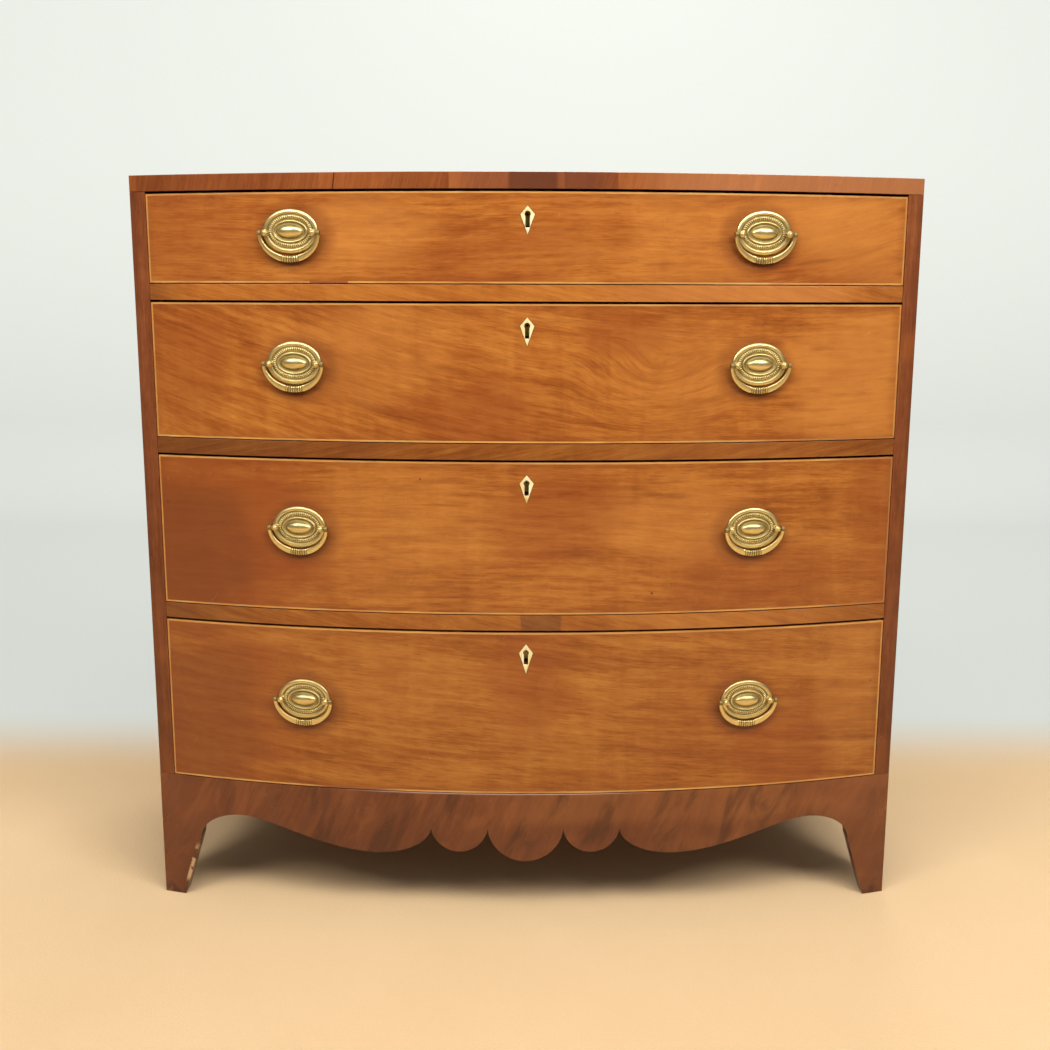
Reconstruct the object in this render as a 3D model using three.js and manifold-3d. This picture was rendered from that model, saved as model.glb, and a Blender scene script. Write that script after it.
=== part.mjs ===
// Bow front chest of drawers, with four long drawers, a scalloped apron and bracket feet.
// X is the width, Y runs from the front to the back, Z is up, and the lengths are millimetres.
// The origin is on the floor, under the middle of the chest.
import * as THREE from 'three';
import { mergeVertices } from 'three/addons/utils/BufferGeometryUtils.js';
import Module from 'manifold-3d';

const wasm = await Module();
wasm.setup();

// Carcass
const overallWidth = 1040;
const sideDepth = 452.5;
const bowRise = 77.5; // how far the middle of the front swells past its corners
const sideThickness = 22;
const topThickness = 21;
const railThickness = 21;
const railDepthAtCorner = 45;
const backThickness = 12;
const backRebateWidth = 10;
const housingDepth = 6; // how far rails and boards enter the sides
const housingSetback = 10; // the uncut wood in front of a rail's housing
const tongueThickness = 8; // the tongue on a side's top end
const tongueHeight = 8;
const tongueSetback = 28;
const caseFloorLevel = 181.3; // where the lowest drawer runs

// Apron and feet
const apronThickness = 26;
const lobeLevel = 135.5; // the centres of the round lobes
const centreLobeRadius = 52.2;
const sideLobeRadius = 39.2;
const cuspDrop = 4.3; // how far below their centres two lobes meet
const outerLobeRun = 77;
const outerLobeDrop = 40;
const archLevel = 130.7; // the crown of the arch beside each foot
const kneeLevel = 90; // where the foot's taper ends and the arch begins
const footWidthAtFloor = 31;
const footWidthAtKnee = 59;
const archReach = 64;
const sideFootWidthAtFloor = 58;
const sideFootWidthAtKnee = 84;
const sideArchReach = 60;
const ogeeHandleShares = [0.41, 0.24]; // of the run from the outer lobe to the arch's crown

// Drawers, the top one first
const frontHeights = [113, 177.5, 203.4, 226.2];
const gapAbove = 3;
const gapBelow = 1.4;
const gapBeside = 1;
const frontThickness = 22;
const lapThickness = 5; // the wood that hides the front dovetails
const drawerSideThickness = 10;
const drawerBackThickness = 10;
const drawerBottomThickness = 7;
const grooveDepth = 5;
const bottomRise = 7; // from a drawer side's lower edge to the underside of the bottom
const sideTopDrop = 2;
const backTopDrop = 6;
const spaceBehindDrawer = 13;
const tailPitch = 38;
const tailRootShare = 0.6; // of the pitch
const tailSlopeShare = 1 / 6; // of the tail's length
const stopWidth = 40;
const stopDepth = 16;
const stopHeight = 5;
const stopPlaceShare = 0.45; // of half the opening

// Escutcheons and locks
const kiteHeights = [35.5, 36.5, 37.5, 41];
const kiteWidth = 18.5;
const kiteThickness = 1.8;
const kiteShoulderShare = 0.29; // of the height, from the top to the widest place
const keyDrop = 27.5; // from a front's top edge to the key pin
const keyholeRadius = 3.85;
const keyholeSlotWidth = 5.6;
const keyholeLength = 20;
const lockWidth = 50;
const lockDepth = 11;
const lockBelowPin = 13;
const selvageWidth = 64;
const selvageThickness = 2;
const keyPocketDepth = 6;
const keyPinRadius = 1.5;
const boltWidth = 20;
const boltThickness = 4;
const boltHeight = 16;
const boltChannelMargin = 1; // below the bolt
const mortiseMargin = 1; // round the bolt, in the wood above it
const mortiseDepth = 7;

// Handles
const handleOffset = 302; // from the middle of the chest to the middle of a handle
const handleRises = [5.9, 11, 10.8, 12.6]; // from the middle of each front up to the posts
const postSpacing = 63;
const plateEndMargin = 5; // from a post to the end of the plate
const plateHeight = 56;
const plateRises = [2, 1, 0.2, 0]; // from the posts up to the middle of each plate
const plateRelief = 8; // how far the boss stands out
const pivotStandoff = 7.5;
const postHeadRadius = 4.4;
const postHeadLength = 6.4;
const postStemRadius = 3.2;
const postTipRadius = 3.3;
const postTipLength = 1.4;
const shankRadius = 2.2;
const nutRadius = 5;
const nutThickness = 3;
const pinRadius = 1.5;
const pinHoleRadius = 2;
const bailEndMargin = 9.9; // from a post to the outside of the bail
const bailDrop = 37.4;
const bailLean = 6.5; // degrees, how far the hanging bail leans back towards the front
const bailBandAtEnds = 4.4;
const bailBandAtMiddle = 8.6;
const bailThickness = 4.4;
const gripRadius = 3.1;
const gripLength = 24;
const knuckleRadius = 3.6;
const platePlaceShares = [1, 0.98, 0.87, 0.76, 0.66, 0.4, 0]; // of the plate's half width
const plateReliefShares = [0, 0.4, 0.22, 0.38, 0.24, 0.8, 1]; // of the relief

// Clearances and how finely curves are drawn
const glueGap = 0.3;
const runningGap = 0.4;
const overrun = 2; // how far a cutter passes the wood it cuts
const bowSteps = 20;
const lobeSteps = 8;
const ogeeSteps = 7;
const plateSteps = 16;
const postSteps = 8;
const bailSteps = 12;
const keyholeSteps = 6;

// Places worked out from the sizes
const halfWidth = overallWidth / 2;
const openingHalf = halfWidth - sideThickness;
const frontHalf = openingHalf - gapBeside;
const frontY = -(sideDepth + bowRise) / 2;
const backY = frontY + bowRise + sideDepth;
const cornerY = frontY + bowRise;
const bowRadius = (halfWidth ** 2 + bowRise ** 2) / (2 * bowRise);
const bowCentreY = frontY + bowRadius;
const innerRadius = bowRadius - frontThickness;
const apronInnerRadius = bowRadius - apronThickness;
const railBackY = cornerY + railDepthAtCorner;
const backPanelY = backY - backThickness;
const drawerRearY = backPanelY - spaceBehindDrawer;
const cheekX = frontHalf - drawerSideThickness;
const plateWidth = postSpacing + 2 * plateEndMargin;
const bailWidth = postSpacing + 2 * bailEndMargin;
const housedHalf = openingHalf + housingDepth - glueGap;
const openings = drawerOpenings();
const topUnderside = openings[0].ceiling;
const lockFaceY = frontY + frontThickness;
const boltY = lockFaceY - lockDepth / 2;

// Each drawer's opening, from the lowest up: its floor, its ceiling and where its front stands.
function drawerOpenings() {
  const list = [];
  let floor = caseFloorLevel;
  for (let row = frontHeights.length - 1; row >= 0; row -= 1) {
    const bottom = floor + gapBelow;
    const ceiling = bottom + frontHeights[row] + gapAbove;
    list.unshift({ row, floor, bottom, ceiling, height: frontHeights[row] });
    floor = ceiling + railThickness;
  }
  return list;
}

// Y of the bow, or of a curve inside it on the same centre.
function arcY(radius, x) {
  return bowCentreY - Math.sqrt(radius ** 2 - x ** 2);
}

// Points along a curve on the bow's centre.
function arcPoints(radius, fromX, toX) {
  const start = Math.asin(fromX / radius);
  const end = Math.asin(toX / radius);
  const full = 2 * Math.asin(halfWidth / radius);
  const steps = Math.max(1, 2 * Math.round((bowSteps / 2) * Math.abs(end - start) / full));
  const points = [];
  for (let step = 0; step <= steps; step += 1) {
    const angle = start + (end - start) * step / steps;
    points.push([radius * Math.sin(angle), bowCentreY - radius * Math.cos(angle)]);
  }
  return points;
}

// Solids: a geometry becomes a solid that can be cut, and goes back to a geometry at the end.
function solid(geometry) {
  const bare = geometry.clone();
  bare.deleteAttribute('normal');
  bare.deleteAttribute('uv');
  const merged = mergeVertices(bare);
  return new wasm.Manifold(new wasm.Mesh({
    numProp: 3,
    vertProperties: new Float32Array(merged.attributes.position.array),
    triVerts: new Uint32Array(merged.index.array),
  }));
}

function geometryOf(body) {
  const mesh = body.getMesh();
  const geometry = new THREE.BufferGeometry();
  geometry.setAttribute('position', new THREE.BufferAttribute(mesh.vertProperties, 3));
  geometry.setIndex(new THREE.BufferAttribute(mesh.triVerts, 1));
  return geometry;
}

function shapeOf(points) {
  return new THREE.Shape(points.map(([x, y]) => new THREE.Vector2(x, y)));
}

function box([x0, y0, z0], [x1, y1, z1]) {
  const geometry = new THREE.BoxGeometry(x1 - x0, y1 - y0, z1 - z0);
  geometry.translate((x0 + x1) / 2, (y0 + y1) / 2, (z0 + z1) / 2);
  return solid(geometry);
}

// A box beside the middle plane, mirrored by hand: -1 is the left, 1 the right.
function handedBox(hand, [x0, y0, z0], [x1, y1, z1]) {
  const low = Math.min(hand * x0, hand * x1);
  const high = Math.max(hand * x0, hand * x1);
  return box([low, y0, z0], [high, y1, z1]);
}

// An outline in X and Y, standing between two levels.
function upright(points, fromZ, toZ) {
  const geometry = new THREE.ExtrudeGeometry(shapeOf(points), { depth: toZ - fromZ, bevelEnabled: false });
  geometry.translate(0, 0, fromZ);
  return solid(geometry);
}

const axisX = new THREE.Vector3(1, 0, 0);
const axisY = new THREE.Vector3(0, 1, 0);
const axisZ = new THREE.Vector3(0, 0, 1);

// An outline in Y and Z, running across from one X to another.
function across(points, fromX, toX) {
  const low = Math.min(fromX, toX);
  const width = Math.abs(toX - fromX);
  const geometry = new THREE.ExtrudeGeometry(shapeOf(points), { depth: width, bevelEnabled: false });
  geometry.applyMatrix4(new THREE.Matrix4().makeBasis(axisY, axisZ, axisX));
  geometry.translate(low, 0, 0);
  return solid(geometry);
}

// An outline in X and Z, running from a back Y towards the front.
function frontwards(points, fromY, toY) {
  const geometry = new THREE.ExtrudeGeometry(shapeOf(points), { depth: fromY - toY, bevelEnabled: false });
  const towardsFront = axisY.clone().negate();
  geometry.applyMatrix4(new THREE.Matrix4().makeBasis(axisX, axisZ, towardsFront));
  geometry.translate(0, fromY, 0);
  return solid(geometry);
}

// A turned piece whose axis points out of the drawer front, from a profile of radius and height.
function turned(profile, steps) {
  const points = profile.map(([radius, height]) => new THREE.Vector2(radius, height));
  const geometry = new THREE.LatheGeometry(points, steps);
  geometry.rotateX(Math.PI);
  return geometry;
}

function rodAlongX(radius, fromX, toX, y, z) {
  const geometry = new THREE.CylinderGeometry(radius, radius, Math.abs(toX - fromX), postSteps);
  geometry.rotateZ(Math.PI / 2);
  geometry.translate((fromX + toX) / 2, y, z);
  return solid(geometry);
}

// A board between two curves of the bow, or between one curve and a straight back edge.
function curvedBoard(half, outerRadius, backRadius, fromZ, toZ) {
  const back = arcPoints(backRadius, half, -half);
  return upright([...arcPoints(outerRadius, -half, half), ...back], fromZ, toZ);
}

function straightBackedBoard(half, outerRadius, straightY, fromZ, toZ) {
  const back = [[half, straightY], [-half, straightY]];
  return upright([...arcPoints(outerRadius, -half, half), ...back], fromZ, toZ);
}

function cut(body, cutters) {
  return cutters.reduce((left, cutter) => left.subtract(cutter), body);
}

function join(bodies) {
  return bodies.reduce((whole, next) => whole.add(next));
}

// The arch beside a foot: distances from the chest's corner, and heights.
function archProfile(widthAtFloor, widthAtKnee, reach) {
  const crown = widthAtKnee + reach;
  const rise = archLevel - kneeLevel;
  const curve = new THREE.EllipseCurve(crown, kneeLevel, reach, rise, Math.PI, Math.PI / 2, true);
  const round = curve.getPoints(lobeSteps).map((point) => [point.x, point.y]);
  return [[widthAtFloor, 0], ...round];
}

// The lower edge of the apron from its middle to the right foot's outer edge.
function apronEdge() {
  const down = -Math.PI / 2;
  const centreEnd = -Math.asin(cuspDrop / centreLobeRadius);
  const sideStart = Math.asin(cuspDrop / sideLobeRadius);
  const centreCuspX = Math.sqrt(centreLobeRadius ** 2 - cuspDrop ** 2);
  const sideHalf = Math.sqrt(sideLobeRadius ** 2 - cuspDrop ** 2);
  const sideX = centreCuspX + sideHalf;
  const outerX = sideX + sideHalf + outerLobeRun;
  const cuspLevel = lobeLevel - cuspDrop;
  const outerLevel = cuspLevel - outerLobeDrop;
  const crownX = halfWidth - footWidthAtKnee - archReach;
  const ogeeRun = crownX - outerX;
  const centreLobe = new THREE.EllipseCurve(
    0, lobeLevel, centreLobeRadius, centreLobeRadius, down, centreEnd, false);
  const sideLobe = new THREE.EllipseCurve(
    sideX, lobeLevel, sideLobeRadius, sideLobeRadius, Math.PI + sideStart, 2 * Math.PI - sideStart, false);
  const outerLobe = new THREE.EllipseCurve(
    outerX, cuspLevel, outerLobeRun, outerLobeDrop, Math.PI, 2 * Math.PI + down, false);
  const ogee = new THREE.CubicBezierCurve(
    new THREE.Vector2(outerX, outerLevel),
    new THREE.Vector2(outerX + ogeeRun * ogeeHandleShares[0], outerLevel),
    new THREE.Vector2(crownX - ogeeRun * ogeeHandleShares[1], archLevel),
    new THREE.Vector2(crownX, archLevel));
  const curves = [
    centreLobe.getPoints(lobeSteps),
    sideLobe.getPoints(lobeSteps).slice(1),
    outerLobe.getPoints(lobeSteps).slice(1),
    ogee.getPoints(ogeeSteps).slice(1),
  ];
  const foot = archProfile(footWidthAtFloor, footWidthAtKnee, archReach)
    .map(([inset, z]) => [halfWidth - inset, z])
    .reverse()
    .slice(1);
  return [...curves.flat().map((point) => [point.x, point.y]), ...foot, [halfWidth, 0]];
}

function apron() {
  const right = apronEdge();
  const left = right.slice(1).map(([x, z]) => [-x, z]).reverse();
  const outline = [...left, ...right, [halfWidth, caseFloorLevel], [-halfWidth, caseFloorLevel]];
  const outlined = frontwards(outline, cornerY + apronThickness + overrun, frontY - overrun);
  const board = curvedBoard(halfWidth, bowRadius, apronInnerRadius, -overrun, caseFloorLevel + overrun);
  return board.intersect(outlined);
}

// The room that the apron needs in front of the sides and the bottom board.
function apronSpace() {
  return curvedBoard(halfWidth + overrun, bowRadius + overrun, apronInnerRadius - glueGap,
    -overrun, caseFloorLevel + glueGap);
}

// The space under a side panel, between its front and back feet.
function sideArch() {
  const front = archProfile(sideFootWidthAtFloor, sideFootWidthAtKnee, sideArchReach)
    .map(([inset, z]) => [cornerY + inset, z]);
  const back = front.map(([y, z]) => [cornerY + backY - y, z]).reverse();
  return [[front[0][0], -overrun], ...front, ...back, [back[back.length - 1][0], -overrun]];
}

function sidePanel(hand) {
  const inner = hand * openingHalf;
  const outer = hand * halfWidth;
  const outline = [...arcPoints(bowRadius, inner, outer), [outer, backY], [inner, backY]];
  const board = upright(outline, 0, topUnderside);
  const middle = halfWidth - sideThickness / 2;
  const tongue = handedBox(hand,
    [middle - tongueThickness / 2, cornerY + tongueSetback, topUnderside - tongueHeight],
    [middle + tongueThickness / 2, backPanelY - tongueSetback, topUnderside + tongueHeight]);
  const rebate = handedBox(hand,
    [openingHalf - overrun, backPanelY - glueGap, caseFloorLevel - railThickness - glueGap],
    [openingHalf + backRebateWidth, backY + overrun, topUnderside + overrun]);
  const housings = openings.map(({ floor }, row) => {
    const isLowest = row === openings.length - 1;
    const startY = isLowest ? frontY : arcY(bowRadius, openingHalf) + housingSetback;
    return handedBox(hand,
      [openingHalf - overrun, startY, floor - railThickness - glueGap],
      [openingHalf + housingDepth, backPanelY, floor + glueGap]);
  });
  const arch = across(sideArch(), inner - hand * overrun, outer + hand * overrun);
  return cut(join([board, tongue]), [apronSpace(), rebate, ...housings, arch]);
}

function boltMortise(ceiling) {
  const reachX = boltWidth / 2 + mortiseMargin;
  const reachY = boltThickness / 2 + mortiseMargin;
  return box([-reachX, boltY - reachY, ceiling - overrun], [reachX, boltY + reachY, ceiling + mortiseDepth]);
}

function topPanel() {
  const board = straightBackedBoard(halfWidth, bowRadius, backY, topUnderside, topUnderside + topThickness);
  const middle = halfWidth - sideThickness / 2;
  const grooves = [-1, 1].map((hand) => handedBox(hand,
    [middle - tongueThickness / 2 - glueGap, cornerY + tongueSetback - glueGap, topUnderside - overrun],
    [middle + tongueThickness / 2 + glueGap, backPanelY - tongueSetback + glueGap,
      topUnderside + tongueHeight + glueGap]));
  const rebateHalf = openingHalf + backRebateWidth;
  const rebate = box([-rebateHalf, backPanelY - glueGap, topUnderside - overrun],
    [rebateHalf, backY + overrun, topUnderside + backRebateWidth + glueGap]);
  const raised = board.subtract(boltMortise(topUnderside));
  return cut(raised, [...grooves, rebate]).intersect(
    straightBackedBoard(halfWidth, bowRadius, backY, topUnderside + glueGap, topUnderside + topThickness));
}

// Two stops stand on the wood that carries a drawer, just behind its front.
function drawerStops(floor) {
  return [-1, 1].map((hand) => {
    const angle = Math.asin(hand * openingHalf * stopPlaceShare / innerRadius);
    const radius = innerRadius - runningGap - stopDepth / 2;
    const height = stopHeight + railThickness / 2;
    const geometry = new THREE.BoxGeometry(stopWidth, stopDepth, height);
    geometry.rotateZ(angle);
    geometry.translate(radius * Math.sin(angle), bowCentreY - radius * Math.cos(angle),
      floor + stopHeight - height / 2);
    return solid(geometry);
  });
}

function rail(floor) {
  const bottom = floor - railThickness;
  const board = straightBackedBoard(housedHalf, bowRadius, railBackY, bottom, floor);
  const shoulderY = arcY(bowRadius, openingHalf) + housingSetback + glueGap;
  const shoulders = [-1, 1].map((hand) => handedBox(hand,
    [openingHalf - glueGap, frontY - overrun, bottom - overrun],
    [housedHalf + overrun, shoulderY, floor + overrun]));
  return cut(join([board, ...drawerStops(floor)]), [...shoulders, boltMortise(bottom)]);
}

function dustBoard(floor) {
  return box([-housedHalf, railBackY + glueGap, floor - railThickness],
    [housedHalf, backPanelY - glueGap, floor]);
}

function bottomBoard() {
  const board = straightBackedBoard(housedHalf, apronInnerRadius - glueGap, backPanelY - glueGap,
    caseFloorLevel - railThickness, caseFloorLevel);
  return join([board, ...drawerStops(caseFloorLevel)]).subtract(apronSpace());
}

function backPanel() {
  const half = openingHalf + backRebateWidth - glueGap;
  return box([-half, backPanelY, caseFloorLevel - railThickness],
    [half, backY, topUnderside + backRebateWidth]);
}

// Drawer joints. A drawer's own level zero is the lower edge of its front.
const shoulderY = arcY(innerRadius, cheekX);
const tailLength = shoulderY - arcY(bowRadius, frontHalf) - lapThickness;
const drawerSideBottom = glueGap - gapBelow;
const drawerBottomLevel = drawerSideBottom + bottomRise;
const drawerBackBottom = drawerBottomLevel + drawerBottomThickness + glueGap;

// The tails between two levels: where each is centred, and its width at the root and the tip.
function tailRow(fromZ, toZ, length) {
  const count = Math.max(2, Math.round((toZ - fromZ) / tailPitch));
  const pitch = (toZ - fromZ) / count;
  const root = pitch * tailRootShare;
  const tip = root + 2 * length * tailSlopeShare;
  return Array.from({ length: count }, (_, index) => ({ z: fromZ + pitch * (index + 0.5), root, tip }));
}

function tailOutline({ z, root, tip }, rootY, tipY) {
  return [[rootY, z - root / 2], [tipY, z - tip / 2], [tipY, z + tip / 2], [rootY, z + root / 2]];
}

// The room that one tail needs in the piece that it enters.
function tailSocket({ z, root, tip }, rootY, tipY, beyond, hand) {
  const away = Math.sign(tipY - rootY);
  const outline = [
    [rootY - away * overrun, z - root / 2 - glueGap],
    [rootY, z - root / 2 - glueGap],
    [tipY, z - tip / 2 - glueGap],
    [tipY + away * beyond, z - tip / 2 - glueGap],
    [tipY + away * beyond, z + tip / 2 + glueGap],
    [tipY, z + tip / 2 + glueGap],
    [rootY, z + root / 2 + glueGap],
    [rootY - away * overrun, z + root / 2 + glueGap],
  ];
  return across(outline, hand * (cheekX - glueGap), hand * (frontHalf + overrun));
}

function frontTails(height) {
  return tailRow(drawerSideBottom, height - sideTopDrop, tailLength);
}

function rearTails(height) {
  return tailRow(drawerBackBottom, height - backTopDrop, drawerBackThickness);
}

function drawerSide(hand, height) {
  const top = height - sideTopDrop;
  const rootY = shoulderY + glueGap;
  const rearRootY = drawerRearY - drawerBackThickness - glueGap;
  const front = frontTails(height).flatMap((tail) => tailOutline(tail, rootY, shoulderY - tailLength));
  const rear = rearTails(height).flatMap((tail) => tailOutline(tail, rearRootY, drawerRearY)).reverse();
  const outline = [
    [rootY, drawerSideBottom],
    ...front,
    [rootY, top],
    [drawerRearY, top],
    [drawerRearY, height - backTopDrop + glueGap],
    [rearRootY, height - backTopDrop + glueGap],
    ...rear,
    [rearRootY, drawerBackBottom - glueGap],
    [drawerRearY, drawerBackBottom - glueGap],
    [drawerRearY, drawerSideBottom],
  ];
  return across(outline, hand * cheekX, hand * frontHalf).subtract(bottomGroove());
}

function drawerBack(height) {
  const board = box([-frontHalf, drawerRearY - drawerBackThickness, drawerBackBottom],
    [frontHalf, drawerRearY, height - backTopDrop]);
  const rootY = drawerRearY - drawerBackThickness;
  const sockets = [-1, 1].flatMap((hand) => rearTails(height)
    .map((tail) => tailSocket(tail, rootY, drawerRearY, overrun, hand)));
  return cut(board, sockets);
}

function drawerBottom() {
  return straightBackedBoard(cheekX + grooveDepth - glueGap, innerRadius + grooveDepth - glueGap,
    drawerRearY, drawerBottomLevel, drawerBottomLevel + drawerBottomThickness);
}

// The groove that the bottom slides into, run round the front and the sides.
function bottomGroove() {
  return straightBackedBoard(cheekX + grooveDepth, innerRadius + grooveDepth, drawerRearY + overrun,
    drawerBottomLevel - glueGap, drawerBottomLevel + drawerBottomThickness + glueGap);
}

// Escutcheon and lock, on the middle of a front
function kiteOutline(row, height, margin) {
  const kite = kiteHeights[row] + 2 * margin;
  const half = kiteWidth / 2 + margin;
  const shoulder = kite * kiteShoulderShare;
  const level = height - keyDrop;
  return [[0, level + shoulder], [-half, level], [0, level + shoulder - kite], [half, level]];
}

function keyholeOutline(height, margin) {
  const level = height - keyDrop;
  const radius = keyholeRadius + margin;
  const half = keyholeSlotWidth / 2 + margin;
  const turn = Math.acos(half / radius);
  const bulb = new THREE.EllipseCurve(0, level, radius, radius, -turn, Math.PI + turn, false);
  const foot = level + keyholeRadius - keyholeLength - margin;
  return [[-half, foot], [half, foot], ...bulb.getPoints(keyholeSteps).map((point) => [point.x, point.y])];
}

function escutcheon(row, height) {
  const kite = frontwards(kiteOutline(row, height, 0), frontY + kiteThickness, frontY);
  const keyhole = frontwards(keyholeOutline(height, 0), frontY + kiteThickness + overrun, frontY - overrun);
  return kite.subtract(keyhole);
}

// The lock's selvage and case, grown by a margin where they are let into the wood.
function lockBlocks(height, margin) {
  const backward = margin > 0 ? overrun : 0;
  const upward = margin > 0 ? overrun : 0;
  const face = lockFaceY - lockDepth - margin;
  const selvage = box([-selvageWidth / 2 - margin, face, height - selvageThickness - margin],
    [selvageWidth / 2 + margin, lockFaceY + backward, height + upward]);
  const casing = box([-lockWidth / 2 - margin, face, height - keyDrop - lockBelowPin - margin],
    [lockWidth / 2 + margin, lockFaceY + backward, height - selvageThickness / 2]);
  return selvage.add(casing);
}

function lock(height) {
  const channel = box(
    [-boltWidth / 2 - runningGap, boltY - boltThickness / 2 - runningGap,
      height - boltHeight - glueGap - boltChannelMargin],
    [boltWidth / 2 + runningGap, boltY + boltThickness / 2 + runningGap, height + overrun]);
  const pocketY = lockFaceY - lockDepth + keyPocketDepth;
  const pocket = frontwards(keyholeOutline(height, glueGap), pocketY, pocketY - keyPocketDepth - overrun);
  const pin = new THREE.CylinderGeometry(keyPinRadius, keyPinRadius, keyPocketDepth, postSteps);
  pin.translate(0, pocketY - keyPocketDepth / 2 + overrun / 2, height - keyDrop);
  return cut(lockBlocks(height, 0), [channel, pocket]).add(solid(pin));
}

function bolt(height) {
  const top = height - glueGap;
  return box([-boltWidth / 2, boltY - boltThickness / 2, top - boltHeight],
    [boltWidth / 2, boltY + boltThickness / 2, top]);
}

// Handles. A handle's own origin is on the bow, midway between its posts; -Y points outwards.
function handleMatrix(hand, height, row) {
  const angle = Math.asin(hand * handleOffset / bowRadius);
  const place = new THREE.Vector3(hand * handleOffset, arcY(bowRadius, handleOffset),
    height / 2 + handleRises[row]);
  return new THREE.Matrix4().makeRotationZ(angle).setPosition(place);
}

function postBores(hand, height, row) {
  return [-1, 1].map((end) => {
    const radius = shankRadius + glueGap;
    const geometry = new THREE.CylinderGeometry(radius, radius, 2 * (frontThickness + overrun), postSteps);
    geometry.translate(end * postSpacing / 2, 0, 0);
    geometry.applyMatrix4(handleMatrix(hand, height, row));
    return solid(geometry);
  });
}

// A post goes through the plate and the drawer front to its nut inside the drawer.
function post(end) {
  const reach = postSpacing / 2 + nutRadius;
  const curveFall = innerRadius - Math.sqrt(innerRadius ** 2 - reach ** 2);
  const nutFace = -(frontThickness + curveFall + glueGap);
  const headBack = pivotStandoff - postHeadLength / 2;
  const headFront = pivotStandoff + postHeadLength / 2;
  const geometry = turned([
    [0, nutFace - nutThickness],
    [nutRadius, nutFace - nutThickness],
    [nutRadius, nutFace],
    [shankRadius, nutFace],
    [shankRadius, glueGap],
    [postStemRadius, glueGap],
    [postStemRadius, headBack],
    [postHeadRadius, headBack],
    [postHeadRadius, headFront],
    [postTipRadius, headFront + postTipLength],
    [0, headFront + postTipLength],
  ], postSteps);
  geometry.translate(end * postSpacing / 2, 0, 0);
  return solid(geometry);
}

function plate(row) {
  const profile = platePlaceShares.map((share, index) => [
    share * plateWidth / 2,
    plateReliefShares[index] * plateRelief,
  ]);
  const geometry = turned([[0, 0], ...profile], plateSteps);
  geometry.scale(1, 1, plateHeight / plateWidth);
  geometry.translate(0, -glueGap, plateRises[row]);
  const body = join([solid(geometry), post(-1), post(1)]);
  const reach = postHeadRadius + overrun;
  const pinHoles = [-1, 1].map((end) => rodAlongX(pinHoleRadius,
    end * postSpacing / 2 - reach, end * postSpacing / 2 + reach, -pivotStandoff, 0));
  return cut(body, pinHoles);
}

// The bail hangs from its two pins, a flat band that widens to a grip in the middle and leans back.
function bail() {
  const outerHalf = bailWidth / 2;
  const innerHalf = outerHalf - bailBandAtEnds;
  const innerDrop = bailDrop - bailBandAtMiddle;
  const outer = new THREE.EllipseCurve(0, 0, outerHalf, bailDrop, Math.PI, 2 * Math.PI, false);
  const inner = new THREE.EllipseCurve(0, 0, innerHalf, innerDrop, 2 * Math.PI, Math.PI, true);
  const outline = [...outer.getPoints(bailSteps), ...inner.getPoints(bailSteps)]
    .map((point) => [point.x, point.y]);
  const half = bailThickness / 2;
  const band = frontwards(outline, half, -half);
  const gripZ = -bailDrop + bailBandAtMiddle / 2;
  const grip = rodAlongX(gripRadius, -gripLength / 2, gripLength / 2, 0, gripZ);
  const ends = [-1, 1].flatMap((end) => [
    rodAlongX(knuckleRadius, end * innerHalf, end * outerHalf, 0, 0),
    rodAlongX(pinRadius, end * (postSpacing / 2 - postHeadRadius), end * (innerHalf + outerHalf) / 2, 0, 0),
  ]);
  return join([band, grip, ...ends]).rotate([bailLean, 0, 0]).translate([0, -pivotStandoff, 0]);
}

function drawerFront(row, height) {
  const board = curvedBoard(frontHalf, bowRadius, innerRadius, 0, height);
  const flats = [-1, 1].map((hand) => handedBox(hand,
    [cheekX, shoulderY, -overrun],
    [frontHalf + overrun, shoulderY + frontThickness, height + overrun]));
  const sockets = [-1, 1].flatMap((hand) => frontTails(height)
    .map((tail) => tailSocket(tail, shoulderY, shoulderY - tailLength, glueGap, hand)));
  const kiteRecess = frontwards(kiteOutline(row, height, glueGap),
    frontY + kiteThickness + glueGap, frontY - overrun);
  const keyhole = frontwards(keyholeOutline(height, 0), lockFaceY, frontY - overrun);
  const bores = [-1, 1].flatMap((hand) => postBores(hand, height, row));
  return cut(board, [...flats, ...sockets, bottomGroove(), kiteRecess, keyhole,
    lockBlocks(height, glueGap), ...bores]);
}

// Finishes
function finish(colour, roughness, metalness) {
  return new THREE.MeshStandardMaterial({ color: colour, roughness, metalness });
}

const mahogany = finish(0x6e3212, 0.35, 0);
const goldenMahogany = finish(0xa85a20, 0.32, 0);
const pine = finish(0xb08a58, 0.75, 0);
const oak = finish(0xa98452, 0.7, 0);
const bone = finish(0xe8dcb8, 0.45, 0);
const brass = finish(0xa98b45, 0.38, 1);
const lockBrass = finish(0x8f7a48, 0.5, 1);
const iron = finish(0x4a4540, 0.6, 1);

function place(parent, name, body, material) {
  const mesh = new THREE.Mesh(geometryOf(body), material);
  mesh.name = name;
  parent.add(mesh);
}

function buildCarcass() {
  const group = new THREE.Group();
  place(group, 'top_panel', topPanel(), mahogany);
  place(group, 'side_panel_left', sidePanel(-1), mahogany);
  place(group, 'side_panel_right', sidePanel(1), mahogany);
  place(group, 'apron', apron(), mahogany);
  place(group, 'bottom_board', bottomBoard(), pine);
  place(group, 'back_panel', backPanel(), pine);
  openings.slice(0, -1).forEach(({ row, floor }) => {
    place(group, `rail_${row + 1}`, rail(floor), mahogany);
    place(group, `dust_board_${row + 1}`, dustBoard(floor), pine);
  });
  return group;
}

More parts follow.
